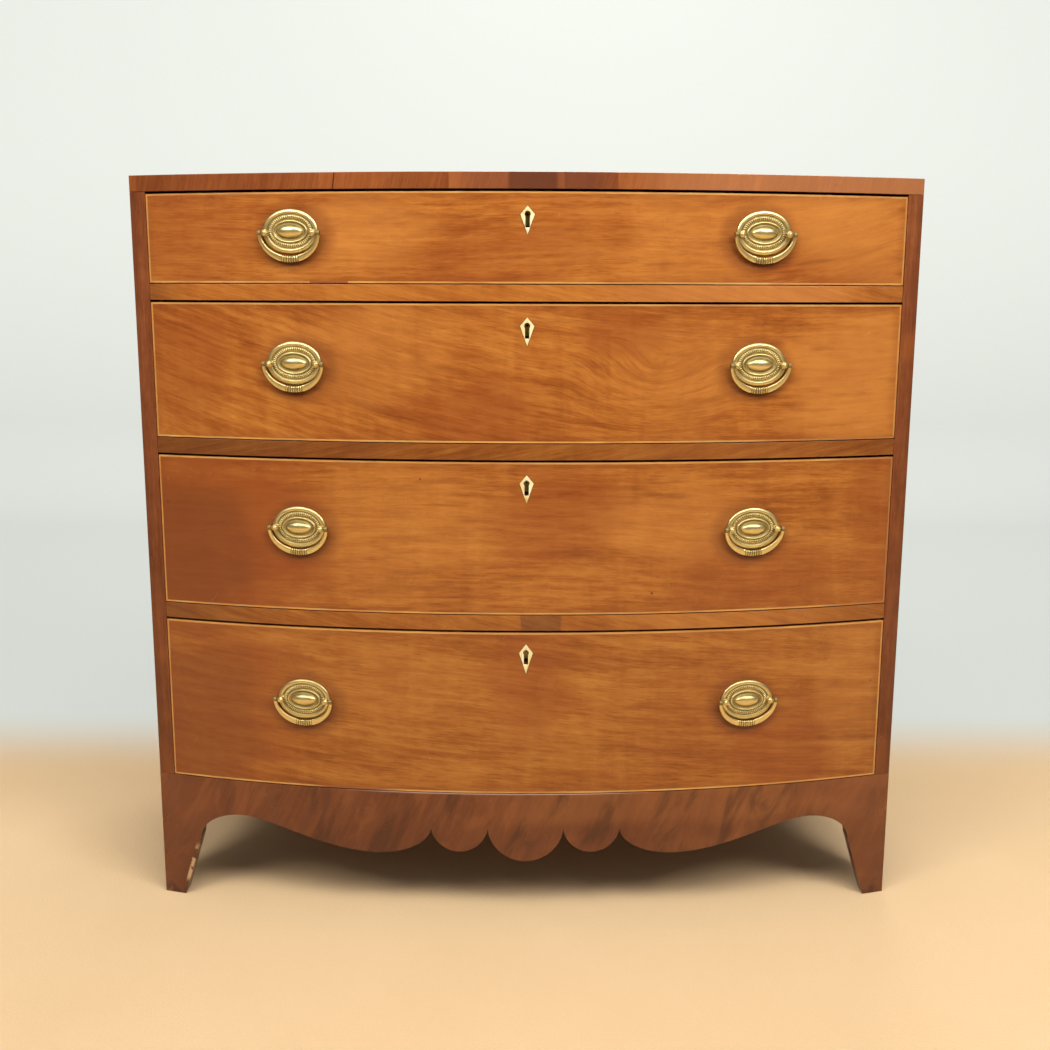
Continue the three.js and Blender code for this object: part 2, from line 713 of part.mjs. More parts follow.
function buildDrawer({ row, bottom, height }) {
  const group = new THREE.Group();
  const name = `drawer_${row + 1}`;
  group.position.z = bottom;
  place(group, `${name}_front`, drawerFront(row, height), goldenMahogany);
  place(group, `${name}_side_left`, drawerSide(-1, height), oak);
  place(group, `${name}_side_right`, drawerSide(1, height), oak);
  place(group, `${name}_back`, drawerBack(height), oak);
  place(group, `${name}_bottom`, drawerBottom(), oak);
  place(group, `${name}_escutcheon`, escutcheon(row, height), bone);
  place(group, `${name}_lock`, lock(height), lockBrass);
  place(group, `${name}_bolt`, bolt(height), iron);
  [[-1, 'left'], [1, 'right']].forEach(([hand, side]) => {
    const handle = new THREE.Group();
    handle.applyMatrix4(handleMatrix(hand, height, row));
    place(handle, `${name}_plate_${side}`, plate(row), brass);
    place(handle, `${name}_bail_${side}`, bail(), brass);
    group.add(handle);
  });
  return group;
}

const chest = new THREE.Group();
chest.add(buildCarcass());
openings.forEach((opening) => chest.add(buildDrawer(opening)));

export default chest;
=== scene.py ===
# %% [markdown]
# # A bow front chest of drawers
# The real chest is about a metre wide: a mahogany case with a front that swells like a bow, four
# drawers that grow taller towards the floor, boxwood lines round them, bone keyholes and stamped
# brass handles. The solid model of its joints comes first and stays as it is. Each cell below adds
# one visible piece or one finish over it, so that the looks never change the sizes.

# %% load the solid model and keep its size
import math
import random

import bmesh
import bpy
import numpy as np
from mathutils import Matrix, Vector


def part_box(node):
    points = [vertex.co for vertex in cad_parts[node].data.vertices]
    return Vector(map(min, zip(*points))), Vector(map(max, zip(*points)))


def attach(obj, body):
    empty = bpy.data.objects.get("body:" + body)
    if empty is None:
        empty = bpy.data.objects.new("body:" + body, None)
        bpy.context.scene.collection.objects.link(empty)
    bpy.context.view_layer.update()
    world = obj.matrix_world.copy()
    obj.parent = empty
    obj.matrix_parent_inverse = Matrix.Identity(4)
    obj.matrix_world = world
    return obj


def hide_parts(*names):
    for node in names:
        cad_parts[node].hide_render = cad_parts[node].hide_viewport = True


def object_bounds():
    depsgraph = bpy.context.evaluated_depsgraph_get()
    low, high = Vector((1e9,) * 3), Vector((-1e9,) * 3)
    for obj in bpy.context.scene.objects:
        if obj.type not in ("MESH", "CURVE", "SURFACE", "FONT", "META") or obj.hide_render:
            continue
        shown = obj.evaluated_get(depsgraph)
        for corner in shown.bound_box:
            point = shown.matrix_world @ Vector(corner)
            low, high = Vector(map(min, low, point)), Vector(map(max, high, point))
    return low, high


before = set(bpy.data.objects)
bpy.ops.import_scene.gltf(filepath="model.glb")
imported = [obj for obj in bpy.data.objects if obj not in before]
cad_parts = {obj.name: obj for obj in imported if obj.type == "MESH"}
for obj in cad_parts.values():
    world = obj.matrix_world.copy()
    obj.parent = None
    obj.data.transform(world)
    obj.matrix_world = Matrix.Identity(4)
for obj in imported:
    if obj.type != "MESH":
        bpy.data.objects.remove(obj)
solid_bounds = [list(corner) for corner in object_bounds()]
print("solid model:", len(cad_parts), "pieces,", [round(c, 3) for c in solid_bounds[1]])

# %% [markdown]
# ## Sizes that every piece shares
# A bow front is an arc. Its radius follows from two things that can be measured on the chest: the
# width, and how far the middle stands in front of the corners. The width is read from the solid
# model and the rise is given once here, so nothing is typed twice.

# %% work out the bow
MM = 0.001
low, high = Vector(solid_bounds[0]), Vector(solid_bounds[1])
half_width = high.x
front_y = low.y
bow_rise = 77.5 * MM
bow_radius = (half_width ** 2 + bow_rise ** 2) / (2 * bow_rise)
bow_centre = front_y + bow_radius
corner_y = front_y + bow_rise


def bow_y(x, depth=0.0):
    """Where the bow's surface is at x, or a surface that lies depth behind it."""
    return bow_centre - math.sqrt((bow_radius - depth) ** 2 - x ** 2)


DRAWERS = (1, 2, 3, 4)
HANDS = {"left": -1, "right": 1}
BOARD = 22 * MM
fronts = {n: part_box(f"drawer_{n}_front") for n in DRAWERS}
front_half = fronts[1][1].x
print("bow radius", round(bow_radius, 4), "fronts", [round(b[1].z - b[0].z, 4) for b in fronts.values()])

# %% [markdown]
# ## Camera
# The photograph was taken from the height of the top drawer, nearly straight ahead and tipped
# down by about ten degrees. A camera object could be aimed with a constraint, but setting its place and
# its three turns directly keeps the view exactly the same each time.

# %% place the camera
CAMERA_PLACE = (-0.01066, -1.86501, 0.85572)
CAMERA_PAN, CAMERA_DIP, CAMERA_ROLL = -0.005465, 0.185498, 0.003599
camera_data = bpy.data.cameras.new("camera")
camera_data.sensor_width = 36
camera_data.lens = 42.594
camera = bpy.data.objects.new("camera", camera_data)
bpy.context.scene.collection.objects.link(camera)
camera_turn = (Matrix.Rotation(CAMERA_PAN, 4, "Z") @ Matrix.Rotation(math.pi / 2 - CAMERA_DIP, 4, "X")
               @ Matrix.Rotation(CAMERA_ROLL, 4, "Z"))
camera.matrix_world = Matrix.Translation(CAMERA_PLACE) @ camera_turn
bpy.context.scene.camera = camera
bpy.context.scene.view_settings.view_transform = "Standard"
print("camera at", [round(c, 3) for c in camera.matrix_world.translation])

# %% [markdown]
# ## Writing a finish as plain sums
# Blender's materials are graphs of small nodes. Wiring them one by one is slow to read, so here
# one class stands for a value in the graph. Adding or multiplying two of them adds the node that does
# it, and the formula for a wood grain can be read like one on paper.

# %% a value in a graph, the graph, and a material being made


class Value:
    """One output of a node. Sums with numbers or other values add Math nodes."""

    def __init__(self, graph, socket):
        self.graph = graph
        self.socket = socket

    def sum(self, operation, first, second=0.0):
        return self.graph.node("Math", {"operation": operation}, {0: first, 1: second})

    def __add__(self, other):
        return self.sum("ADD", self, other)

    def __sub__(self, other):
        return self.sum("SUBTRACT", self, other)

    def __rsub__(self, other):
        return self.sum("SUBTRACT", other, self)

    def __mul__(self, other):
        return self.sum("MULTIPLY", self, other)

    def __truediv__(self, other):
        return self.sum("DIVIDE", self, other)

    def __abs__(self):
        return self.sum("ABSOLUTE", self)

    __radd__ = __add__
    __rmul__ = __mul__

    def above(self, start, end):
        """0 below start, 1 past end, and a soft step between."""
        return self.graph.node("MapRange", {"interpolation_type": "SMOOTHSTEP"},
                               {0: self, 1: start, 2: end, 3: 0.0, 4: 1.0})

    def below(self, start, end):
        """1 below start, 0 past end."""
        return 1 - self.above(start, end)

    def within(self, start, full, fading, end):
        """1 between full and fading, 0 below start and past end."""
        return self.above(start, full) * self.below(fading, end)

    def least(self, other):
        return self.sum("MINIMUM", self, other)

    def most(self, other):
        return self.sum("MAXIMUM", self, other)

    def out(self, name):
        """Another output of the same node."""
        return Value(self.graph, self.socket.node.outputs[name])


class Graph:
    """The nodes of a finish or of the world."""

    def __init__(self, tree):
        self.nodes, self.links = tree.nodes, tree.links

    def give(self, socket, value):
        """Links a value to a socket, or writes a number or colour on it."""
        if isinstance(value, Value):
            self.links.new(value.socket, socket)
        elif isinstance(value, (tuple, list)) and socket.type == "RGBA" and len(value) == 3:
            socket.default_value = (*value, 1.0)
        else:
            socket.default_value = value

    def node(self, kind, settings, inputs, output=0):
        """Any node: its type, its settings, then what its sockets are given."""
        made = self.nodes.new("ShaderNode" + kind)
        for setting, value in settings.items():
            if setting == "stops":
                ramp = made.color_ramp
                for index, (position, colour) in enumerate(value):
                    stop = ramp.elements[index] if index < 2 else ramp.elements.new(position)
                    stop.position = position
                    stop.color = (*colour, 1.0)
            else:
                setattr(made, setting, value)
        for socket, value in inputs.items():
            self.give(made.inputs[socket], value)
        return Value(self, made.outputs[output])

    def vector(self, x, y, z):
        return self.node("CombineXYZ", {}, {0: x, 1: y, 2: z})

    def noise(self, place, stretch, start=(0, 0, 0), detail=3.0, roughness=0.55, distortion=0.0):
        """Cloudy noise around 0.5, with its own scale along each direction."""
        moved = self.node("Mapping", {}, {"Vector": place, "Location": start, "Scale": stretch})
        return self.node("TexNoise", {}, {"Vector": moved, "Scale": 1.0, "Detail": detail,
                                          "Roughness": roughness, "Distortion": distortion})

    def ramp(self, value, stops):
        return self.node("ValToRGB", {"stops": stops}, {0: value})

    def mix(self, share, first, second, how="MIX"):
        return self.node("Mix", {"data_type": "RGBA", "blend_type": how},
                         {0: share, 6: first, 7: second}, 2)


class Finish(Graph):
    """A material being made: its shader, the place on the object and its colour so far."""

    def __init__(self, name, roughness, metallic=0.0, **constants):
        self.material = bpy.data.materials.new(name)
        self.material.use_nodes = True
        super().__init__(self.material.node_tree)
        self.shader = self.nodes["Principled BSDF"]
        self.set("Roughness", roughness)
        self.set("Metallic", metallic)
        for socket, value in constants.items():
            self.set(socket.replace("_", " "), value)
        self.place = self.node("TexCoord", {}, {}, "Object")
        self.x = self.node("SeparateXYZ", {}, {0: self.place}, "X")
        self.y, self.z = self.x.out("Y"), self.x.out("Z")
        self.colour = None

    def set(self, socket, value):
        self.give(self.shader.inputs[socket], value)

    def stain(self, share, tint, how="MIX"):
        """Lays a tint over the colour so far, as strongly as its share says."""
        self.colour = self.mix(share, self.colour, tint, how)

    def bump(self, height, distance, strength):
        self.set("Normal", self.node("Bump", {}, {"Height": height, "Distance": distance,
                                                  "Strength": strength}))


print("one class for values, one for graphs, one for finishes")

# %% [markdown]
# ## Floor, backdrop and light
# The chest stands on a pale beige floor before a pale backdrop, in soft light from both sides of the
# camera and from above, with one lamp behind for the views from there. A sweep, a floor that bends up,
# has no corner to distract the eye. The lamps are large so that shadows stay soft, and the world is
# brighter for the camera than for the wood.

# %% make the sweep
SWEEP_HALF = 12.0
SWEEP_FRONT = -12.0
SWEEP_BEND = 2.7
SWEEP_RADIUS = 0.35
SWEEP_HEIGHT = 6.0
sweep_mesh = bmesh.new()
edge_start = sweep_mesh.verts.new((-SWEEP_HALF, SWEEP_FRONT, 0))
edge_end = sweep_mesh.verts.new((-SWEEP_HALF, SWEEP_BEND, 0))
sweep_mesh.edges.new((edge_start, edge_end))
bent = bmesh.ops.spin(sweep_mesh, geom=[edge_end], cent=(0, SWEEP_BEND, SWEEP_RADIUS), axis=(1, 0, 0),
                      angle=math.pi / 2, steps=16)
last = [v for v in bent["geom_last"] if isinstance(v, bmesh.types.BMVert)]
risen = bmesh.ops.extrude_vert_indiv(sweep_mesh, verts=last)
bmesh.ops.translate(sweep_mesh, verts=risen["verts"], vec=(0, 0, SWEEP_HEIGHT))
across = bmesh.ops.extrude_edge_only(sweep_mesh, edges=sweep_mesh.edges[:])
bmesh.ops.translate(sweep_mesh, verts=[v for v in across["geom"] if isinstance(v, bmesh.types.BMVert)],
                    vec=(2 * SWEEP_HALF, 0, 0))
bmesh.ops.recalc_face_normals(sweep_mesh, faces=sweep_mesh.faces[:])
sweep_data = bpy.data.meshes.new("sweep")
sweep_mesh.to_mesh(sweep_data)
sweep_mesh.free()
sweep = bpy.data.objects.new("sweep", sweep_data)
bpy.context.scene.collection.objects.link(sweep)
sweep_data.shade_smooth()

ground = Finish("ground", roughness=0.95)
speckle = ground.noise(ground.place, (260, 260, 260), detail=2.0)
drift = ground.noise(ground.place, (3, 3, 3), detail=3.0)
beige = ground.mix(drift, (0.62, 0.435, 0.235), (0.69, 0.49, 0.285))
beige = ground.mix(speckle.above(0.3, 0.7) * 0.08, beige, (0.52, 0.36, 0.2))
rays = ground.node("LightPath", {}, {}, "Is Camera Ray")
seen = rays.most(rays.out("Is Glossy Ray"))
reach = ground.x * ground.x + ground.y * ground.y
distant = reach.above(14.0, 70.0) * rays
glow_share = ground.y.above(0.26, 0.60).most(reach.above(4.8, 12.0) * rays)
pale = ground.mix(distant, ground.mix(glow_share, beige, (0.22, 0.23, 0.22)), (0.0, 0.0, 0.0))
ground.set("Base Color", ground.mix(seen, (0.16, 0.12, 0.08), pale))
# The backdrop glows for the camera, dimmer low down and near the chest: a painted shade.
climb = (((ground.y - 0.3) * 0.3).most((reach - 4.0) * 0.05) + ground.z).above(-0.4, 2.3)
glow = ground.mix(climb, (0.40, 0.42, 0.385), (0.68, 0.70, 0.65))
glow = ground.mix(distant, glow, (0.88, 0.91, 0.88))
ground.set("Emission Color", ground.mix(glow_share * seen, (0.0, 0.0, 0.0), glow))
ground.set("Emission Strength", 1.0)
ground.bump(speckle, 0.002, 0.35)
sweep_data.materials.append(ground.material)
print("sweep", [round(c, 2) for c in sweep.dimensions])

# %% set the lamps and the world


def lamp(name, place, aim, size, power, colour):
    light = bpy.data.lights.new(name, "AREA")
    light.shape = "RECTANGLE"
    light.size, light.size_y = size
    light.energy = power
    light.color = colour
    made = bpy.data.objects.new(name, light)
    bpy.context.scene.collection.objects.link(made)
    made.location = place
    made.rotation_mode = "QUATERNION"
    made.rotation_quaternion = (Vector(aim) - Vector(place)).to_track_quat("-Z", "Y")


lamp("lamp_left", (-1.9, -2.2, 2.9), (-0.1, 0, 0.5), (1.4, 1.2), 62, (1.0, 0.97, 0.92))
lamp("lamp_right", (2.0, -2.3, 2.9), (0.1, 0, 0.5), (1.4, 1.2), 76, (1.0, 0.98, 0.94))
lamp("lamp_over", (0.1, -2.1, 3.3), (0, -0.25, 0.4), (1.8, 1.2), 60, (1.0, 0.99, 0.97))
lamp("lamp_behind", (0.5, 2.3, 3.1), (0, 0.25, 0.45), (1.8, 1.0), 46, (1.0, 0.99, 0.97))

world = bpy.data.worlds.new("studio")
bpy.context.scene.world = world
world.use_nodes = True
sky = Graph(world.node_tree)
rays = sky.node("LightPath", {}, {}, "Is Camera Ray")
direction = sky.node("TexCoord", {}, {}, "Generated")
backward = sky.node("SeparateXYZ", {}, {0: direction}, "Y")
behind = sky.node("MapRange", {}, {0: backward, 1: -0.1, 2: 0.5})
overhead = sky.node("MapRange", {}, {0: backward.out("Z"), 1: 0.05, 2: 0.6})
dome = sky.mix(overhead, (0.12, 0.12, 0.12), (0.58, 0.58, 0.58))
dome_behind = sky.mix(overhead, (0.09, 0.09, 0.09), (0.45, 0.45, 0.45))
around = sky.mix(behind, dome, dome_behind)
mirrored = sky.mix(rays.out("Is Glossy Ray"), around, (0.16, 0.16, 0.155))
sky.give(sky.nodes["Background"].inputs["Color"], sky.mix(rays, mirrored, (0.88, 0.91, 0.88)))
print("four lamps and a pale world")

# %% [markdown]
# ## Mahogany
# Polished mahogany shows several scales at once: slow clouds of red and gold, streaks a few
# millimetres wide along the grain, fine fibres, short dark pores and a faint shimmer across the
# grain. A picture of wood would be one way. Layers of stretched noise are another, and they fit every
# board without seams. The grain of a bow front follows its curve, so depth is measured from the arc.

# %% the grain of a board
# Each layer of the grain, from slow clouds to fine fibres: how closely it repeats along, across and
# into the board, its detail, its roughness and its weight.
GRAIN = [((2.6, 9, 9), 3.0, 0.55, 0.50), ((7, 48, 48), 3.0, 0.55, 0.52), ((24, 120, 120), 4.0, 0.6, 0.52),
         ((5, 210, 120), 4.0, 0.6, 0.52), ((55, 520, 520), 3.0, 0.7, 0.46)]
SHIMMER = 0.22
POLISH = {"Coat_Weight": 0.15, "Coat_Roughness": 0.12, "Specular_IOR_Level": 0.3}


def grain(finish, along, across, depth, seed, waviness, figure=1.0, strength=1.0):
    """Returns how light each place of a board is, near 0.5, and how deep its pores are."""
    raw = finish.vector(along, across, depth)
    start = (seed * 3.17, seed * 1.73, seed * 0.61)
    bend = finish.noise(raw, (1.6, 5, 5), start, detail=2.0)
    ripple = finish.noise(raw, (11, 16, 16), start, detail=1.0)
    across = across + (bend - 0.5) * waviness + (ripple - 0.5) * (waviness * 0.12)
    board = finish.vector(along, across, depth)
    layers = sum((finish.noise(board, stretch, start, detail, roughness) - 0.5) * weight
                 for stretch, detail, roughness, weight in GRAIN)
    shimmer = finish.noise(board, (34, 5, 10), start, detail=2.0, distortion=0.8)
    pores = finish.noise(board, (48, 760, 760), start, detail=1.0).above(0.58, 0.7)
    return (layers + (shimmer - 0.5) * (SHIMMER * figure)) * strength + 0.5, pores


def mahogany(name, lay, seed, tones, polish=0.26, waviness=0.02, figure=1.0, strength=1.0, shade=None,
             **constants):
    """A polished mahogany finish. lay says how the grain runs, tones go from dark to light."""
    made = Finish(name, polish, **(POLISH | constants))
    tone, pores = grain(made, *lay(made), seed, waviness, figure, strength)
    made.colour = made.ramp(tone, list(zip((0.22, 0.42, 0.58, 0.8), tones)))
    made.stain(pores * (0.28 * strength), [c * 0.45 for c in tones[0]])
    if shade is not None:
        shade(made)
    made.set("Base Color", made.colour)
    smear = made.noise(made.place, (9, 9, 9), detail=4.0)
    made.set("Roughness", smear * 0.12 + (polish - 0.06))
    made.bump(pores * -0.15, 0.0004, 0.35)
    return made


GOLD_TONES = [(0.245, 0.057, 0.008), (0.37, 0.103, 0.014), (0.475, 0.154, 0.023), (0.565, 0.211, 0.036)]
RED_TONES = [(0.085, 0.019, 0.005), (0.150, 0.039, 0.012), (0.205, 0.058, 0.018), (0.30, 0.096, 0.029)]


def scaled(tones, factor):
    return [tuple(c * factor for c in tone) for tone in tones]


print("grain layers ready,", len(GOLD_TONES), "tones for the fronts")

# %% [markdown]
# ## Helpers for pieces
# A piece starts as a small mesh, is shaped with mesh operators, and then joins the chest: it rides on
# a body, takes its finishes and may stand for a piece of the solid model. Doing that in one helper keeps
# the later cells short.

# %% turn a mesh into a piece


def steady_normals(data):
    """Broad faces stay flat, or truly round where they lie on the bow. Only the bevels blend."""
    normals = []
    for face in data.polygons:
        corners = [data.vertices[index].co for index in face.vertices]
        spokes = [Vector((c.x, c.y - bow_centre, 0.0)) for c in corners]
        lengths = [spoke.length for spoke in spokes]
        longest = max((a - b).length for a, b in zip(corners, corners[1:] + corners[:1]))
        towards = face.normal.dot(spokes[0].normalized())
        if max(lengths) - min(lengths) < 2e-5 and abs(towards) > 0.99:
            normals += [spoke.normalized() * math.copysign(1, towards) for spoke in spokes]
        elif face.area / longest > 1.5 * MM:
            normals += [face.normal.copy()] * len(corners)
        else:
            normals += [Vector((0.0, 0.0, 0.0))] * len(corners)
    data.normals_split_custom_set(normals)


def piece(bm, name, body, finishes, replaces=None, sharp=30, bowed=False):
    """Makes a mesh a piece of the chest. The faces of a bowed one already point outwards."""
    if not bowed:
        bmesh.ops.recalc_face_normals(bm, faces=bm.faces[:])
    data = bpy.data.meshes.new(name)
    bm.to_mesh(data)
    bm.free()
    made = bpy.data.objects.new(name, data)
    bpy.context.scene.collection.objects.link(made)
    for finish in finishes:
        data.materials.append(finish.material)
    data.shade_smooth()
    data.set_sharp_from_angle(angle=math.radians(sharp))
    if bowed:
        steady_normals(data)
    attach(made, body)
    if replaces:
        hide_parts(replaces)
    return made


def whole_copy(node):
    """A copy of a solid's mesh, with its loose triangles merged into whole faces."""
    bm = bmesh.new()
    bm.from_mesh(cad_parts[node].data)
    bmesh.ops.remove_doubles(bm, verts=bm.verts[:], dist=2e-6)
    bmesh.ops.dissolve_limit(bm, angle_limit=math.radians(0.2), verts=bm.verts[:], edges=bm.edges[:])
    return bm


def slices(bm, places):
    """Cuts new edges through the mesh at each place across the chest."""
    for x in places:
        bmesh.ops.bisect_plane(bm, geom=bm.verts[:] + bm.edges[:] + bm.faces[:], dist=1e-6,
                               plane_co=(x, 0, 0), plane_no=(1, 0, 0))


def on_arc(vertex, radius, reach=0.35 * MM):
    return abs(math.hypot(vertex.co.x, vertex.co.y - bow_centre) - radius) < reach


def to_arc(bm, radius, sunk=0.0):
    """Moves the vertices that lie near an arc exactly onto it."""
    for vertex in bm.verts:
        if on_arc(vertex, radius):
            scale = (radius - sunk) / math.hypot(vertex.co.x, vertex.co.y - bow_centre)
            vertex.co.x *= scale
            vertex.co.y = bow_centre + (vertex.co.y - bow_centre) * scale


def stations(half, step=8 * MM):
    """Places across the chest, a step apart and clear of both ends."""
    count = int(half / step)
    places = [(index + 0.5) * step for index in range(-count - 1, count + 1)]
    return [place for place in places if abs(place) < half - MM]


def bowed_copy(node, cuts, bow_index, sunk=0.0):
    """A solid's copy, cut at each place and moved onto the true arc. Its bowed faces take the finish
    of bow_index, 0 or 1, and the rest take the other one."""
    bm = whole_copy(node)
    slices(bm, cuts)
    for face in bm.faces:
        on_bow = all(on_arc(vertex, bow_radius) for vertex in face.verts)
        face.material_index = bow_index if on_bow else 1 - bow_index
    to_arc(bm, bow_radius, sunk)
    return bm


def bevel(bm, edges, width):
    bmesh.ops.bevel(bm, geom=edges, offset=width, offset_type="OFFSET", segments=2, profile=0.5,
                    affect="EDGES", material=-1, clamp_overlap=True)


def soften(bm, width, worn):
    """Rounds the arrises that hands and dusters wear: those with worn true at both ends."""
    bevel(bm, [edge for edge in bm.edges if all(worn(vertex) for vertex in edge.verts)
               and len(edge.link_faces) == 2 and edge.calc_face_angle(0) > math.radians(30)], width)


print("helpers ready")

# %% [markdown]
# ## Top
# The top is one board with a bowed front edge, and the edge is covered with short pieces of veneer
# whose grain stands upright. The solid model draws the bow with flat steps. Cutting the copy every few
# millimetres and moving the new points onto the true arc makes it smooth, and a small bevel gives the worn
# arris that catches the light.

# %% finishes of the top
CRACK_X = -0.245


def lay_flat(made):
    return made.x, made.y, made.z


def lay_crossband(made):
    """Upright grain in short blocks, each with its own slice of the noise."""
    block = made.node("TexVoronoi", {"voronoi_dimensions": "1D"},
                      {"W": made.x * 13 + 3.3, "Scale": 1.0, "Randomness": 1.0}, "Color")
    made.block = made.node("SeparateColor", {}, {0: block})
    return made.z + made.x * 0.4, made.x + made.block * 0.3 - made.z * 0.25, made.y * 0.2


def crossband_shade(made):
    """Lighter and darker blocks, a dark middle with one darker block, and a crack."""
    tones = made.ramp(made.block, [(0.0, (0.66, 0.60, 0.60)), (0.35, (0.92, 0.88, 0.88)),
                                   (0.8, (1.1, 1.1, 1.1)), (1.0, (1.25, 1.3, 1.3))])
    made.stain(1.0, tones, "MULTIPLY")
    made.stain(made.x.above(0.1, 0.24) * 0.5, (0.45, 0.185, 0.075))
    made.stain(made.x.within(-0.115, -0.06, 0.07, 0.125) * 0.55, (0.145, 0.045, 0.024))
    made.stain(made.x.within(-0.027, -0.021, 0.034, 0.04) * 0.75, (0.10, 0.03, 0.014))
    crack = abs(made.x - (made.z - 0.99) * 0.12 - CRACK_X).below(0.0003, 0.0011)
    made.stain(crack * 0.85, (0.03, 0.01, 0.006))


top_face = mahogany("top_face", lay_flat, 4.0, scaled(RED_TONES, 1.35), waviness=0.04, figure=1.2,
                    strength=0.8)
BAND_TONES = [(0.19, 0.048, 0.010), (0.27, 0.074, 0.017), (0.35, 0.104, 0.026), (0.44, 0.15, 0.042)]
crossband = mahogany("crossband", lay_crossband, 7.0, BAND_TONES, waviness=0.003, figure=0.3, strength=0.6,
                     shade=crossband_shade, Specular_IOR_Level=0.2, Coat_Weight=0.08)
print("top finishes:", top_face.material.name, crossband.material.name)

# %% make the top
top_low, top_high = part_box("top_panel")
bm = bowed_copy("top_panel", stations(half_width), 1)
soften(bm, 0.9 * MM, lambda v: v.co.z > top_high.z - MM / 2
       or (on_arc(v, bow_radius) and v.co.z < top_low.z + MM / 2))
soften(bm, 0.8 * MM, lambda v: abs(abs(v.co.x) - half_width) < MM / 2 and abs(v.co.y - corner_y) < 2 * MM)
top = piece(bm, "top_board", "carcass", [top_face, crossband], "top_panel", bowed=True)
print("top board", len(top.data.polygons), "faces")

# %% [markdown]
# ## Rails
# Three rails divide the drawers. Each is a strip of mahogany with slanting grain on its front edge and
# plain wood behind. They are made like the top, from a smooth copy of the solid, with narrow worn arrises.

# %% finishes of the rails
LIFT_START = 0.22
CURL_RISE = 0.035
# For each rail: how its grain slants, how light it is, where its dark left end stops, and how much
# lighter it is right of the middle, where it is lighter wood and, most on the top rail, a painted sheen.
RAILS = {1: (0.24, 1.12, -0.42, 0.45), 2: (-0.2, 0.78, -0.02, 0.10), 3: (0.28, 0.95, -0.30, 0.15)}


def bow_depth(made):
    """How far a place lies behind the bow, by the parabola closest to its arc."""
    return made.y - made.x * made.x * (0.5 / bow_radius)


def off_centre(x, z, middle_x, middle_z, half, tall):
    """The squared distance from the middle of an oval, 1 on its rim."""
    aside, up = (x - middle_x) / half, (z - middle_z) / tall
    return aside * aside + up * up


def lay_along(slant, bend=0.0, lift=0.0, curl=None):
    """Grain along the bow: it falls by slant, bends, may lift at the right end and curl round a place."""
    def lay(made):
        across = made.z + made.x * slant + made.x * made.x * bend
        if lift:
            end = (made.x - LIFT_START).most(0.0)
            across = across - end * end * lift
        if curl is not None:
            near = (1 - off_centre(made.x, made.z, *curl)).most(0.0)
            across = across + near * near * CURL_RISE
        return made.x, across, bow_depth(made)
    return lay


def rail_shade(n):
    """Wood that darkens towards the ends, is lighter right of the middle with a painted sheen, and may have a
    let in piece.
    """
    dark_stop, light_and_sheen_share = RAILS[n][2:]

    def shade(made):
        cloud = (made.noise(made.place, (16, 4, 40), detail=3.0) - 0.5) * 0.05
        wander = made.x + cloud
        made.stain(wander.below(-0.5, dark_stop) * 0.5, (0.085, 0.025, 0.010))
        made.stain(made.x.above(0.40, 0.5) * 0.25, (0.12, 0.035, 0.014))
        # Lighter wood right of the middle, and a painted sheen there, strongest on the top rail.
        light = wander.above(0.05, 0.2) * made.x.below(0.38, 0.46)
        made.stain(light * light_and_sheen_share, (0.60, 0.23, 0.06))
        if n == 3:
            let_in = abs(made.x - 0.02 + cloud * 0.2).below(0.026, 0.029)
            made.stain(let_in * 0.45, (0.07, 0.028, 0.016))
    return shade


raw_wood = mahogany("plain_mahogany", lay_flat, 9.0, scaled(RED_TONES, 1.25), polish=0.6, Coat_Weight=0.0)
print("grain of", len(RAILS), "rails")

# %% make the rails
for n, (slant, lightness, *_) in RAILS.items():
    face_wood = mahogany(f"rail_wood_{n}", lay_along(slant), 11.0 + n, scaled(GOLD_TONES, lightness * 0.86),
                         waviness=0.01, strength=0.8, shade=rail_shade(n))
    bm = bowed_copy(f"rail_{n}", stations(half_width), 0)
    soften(bm, 0.7 * MM, lambda v: on_arc(v, bow_radius))
    piece(bm, f"rail_{n}_board", "carcass", [face_wood, raw_wood], f"rail_{n}",
          bowed=True)

# %% [markdown]
# ## Sides
# A side is one board that runs down to the floor. Its foot ends in a quarter of an oval beside
# each arch. The oval is cut by planes through its own centre, so that the new points spread evenly round
# it and can be pushed out to the true curve. The narrow front edge of each side follows the bow as well.

# %% make the sides
ARCH_LEVEL = 130.7 * MM
KNEE_LEVEL = 90 * MM
SIDE_KNEE = 84 * MM
SIDE_REACH = 60 * MM
ARCH_STEPS = 24


def lay_upright(made):
    return made.z, made.y, made.x


def lay_stile(made):
    return made.z, made.x, made.y * 0.2


def side_shade(made):
    """Darker towards the floor, and scuffed at the foot."""
    scuffed = made.z.below(0.02, 0.05) * made.noise(made.place, (60, 60, 60), detail=4.0).above(0.45, 0.6)
    made.stain(made.z.below(0.0, 0.35) * 0.35, (0.09, 0.028, 0.012))
    made.stain(scuffed * 0.5, (0.05, 0.022, 0.014))


def stile_shade(made):
    """Warm clouds, and dark along the outer edge."""
    outer = (half_width - abs(made.x)).below(0.001, 0.012)
    warm = made.noise(made.place, (8, 8, 6), (3.0, 0, 0), detail=3.0).above(0.5, 0.66)
    made.stain(warm * 0.5, (0.36, 0.10, 0.02))
    made.stain(outer * 0.25, (0.06, 0.022, 0.012))
    made.stain(made.z.below(0.14, 0.5) * 0.3, (0.12, 0.035, 0.012))
    side_shade(made)


side_wood = mahogany("side_wood", lay_upright, 21.0, scaled(RED_TONES, 1.2), waviness=0.05, figure=0.8,
                     strength=0.85, shade=side_shade)
stile_wood = mahogany("stile_wood", lay_stile, 23.0, scaled(RED_TONES, 1.12), waviness=0.006, strength=0.7,
                      shade=stile_shade, Specular_IOR_Level=0.2, Coat_Weight=0.06)


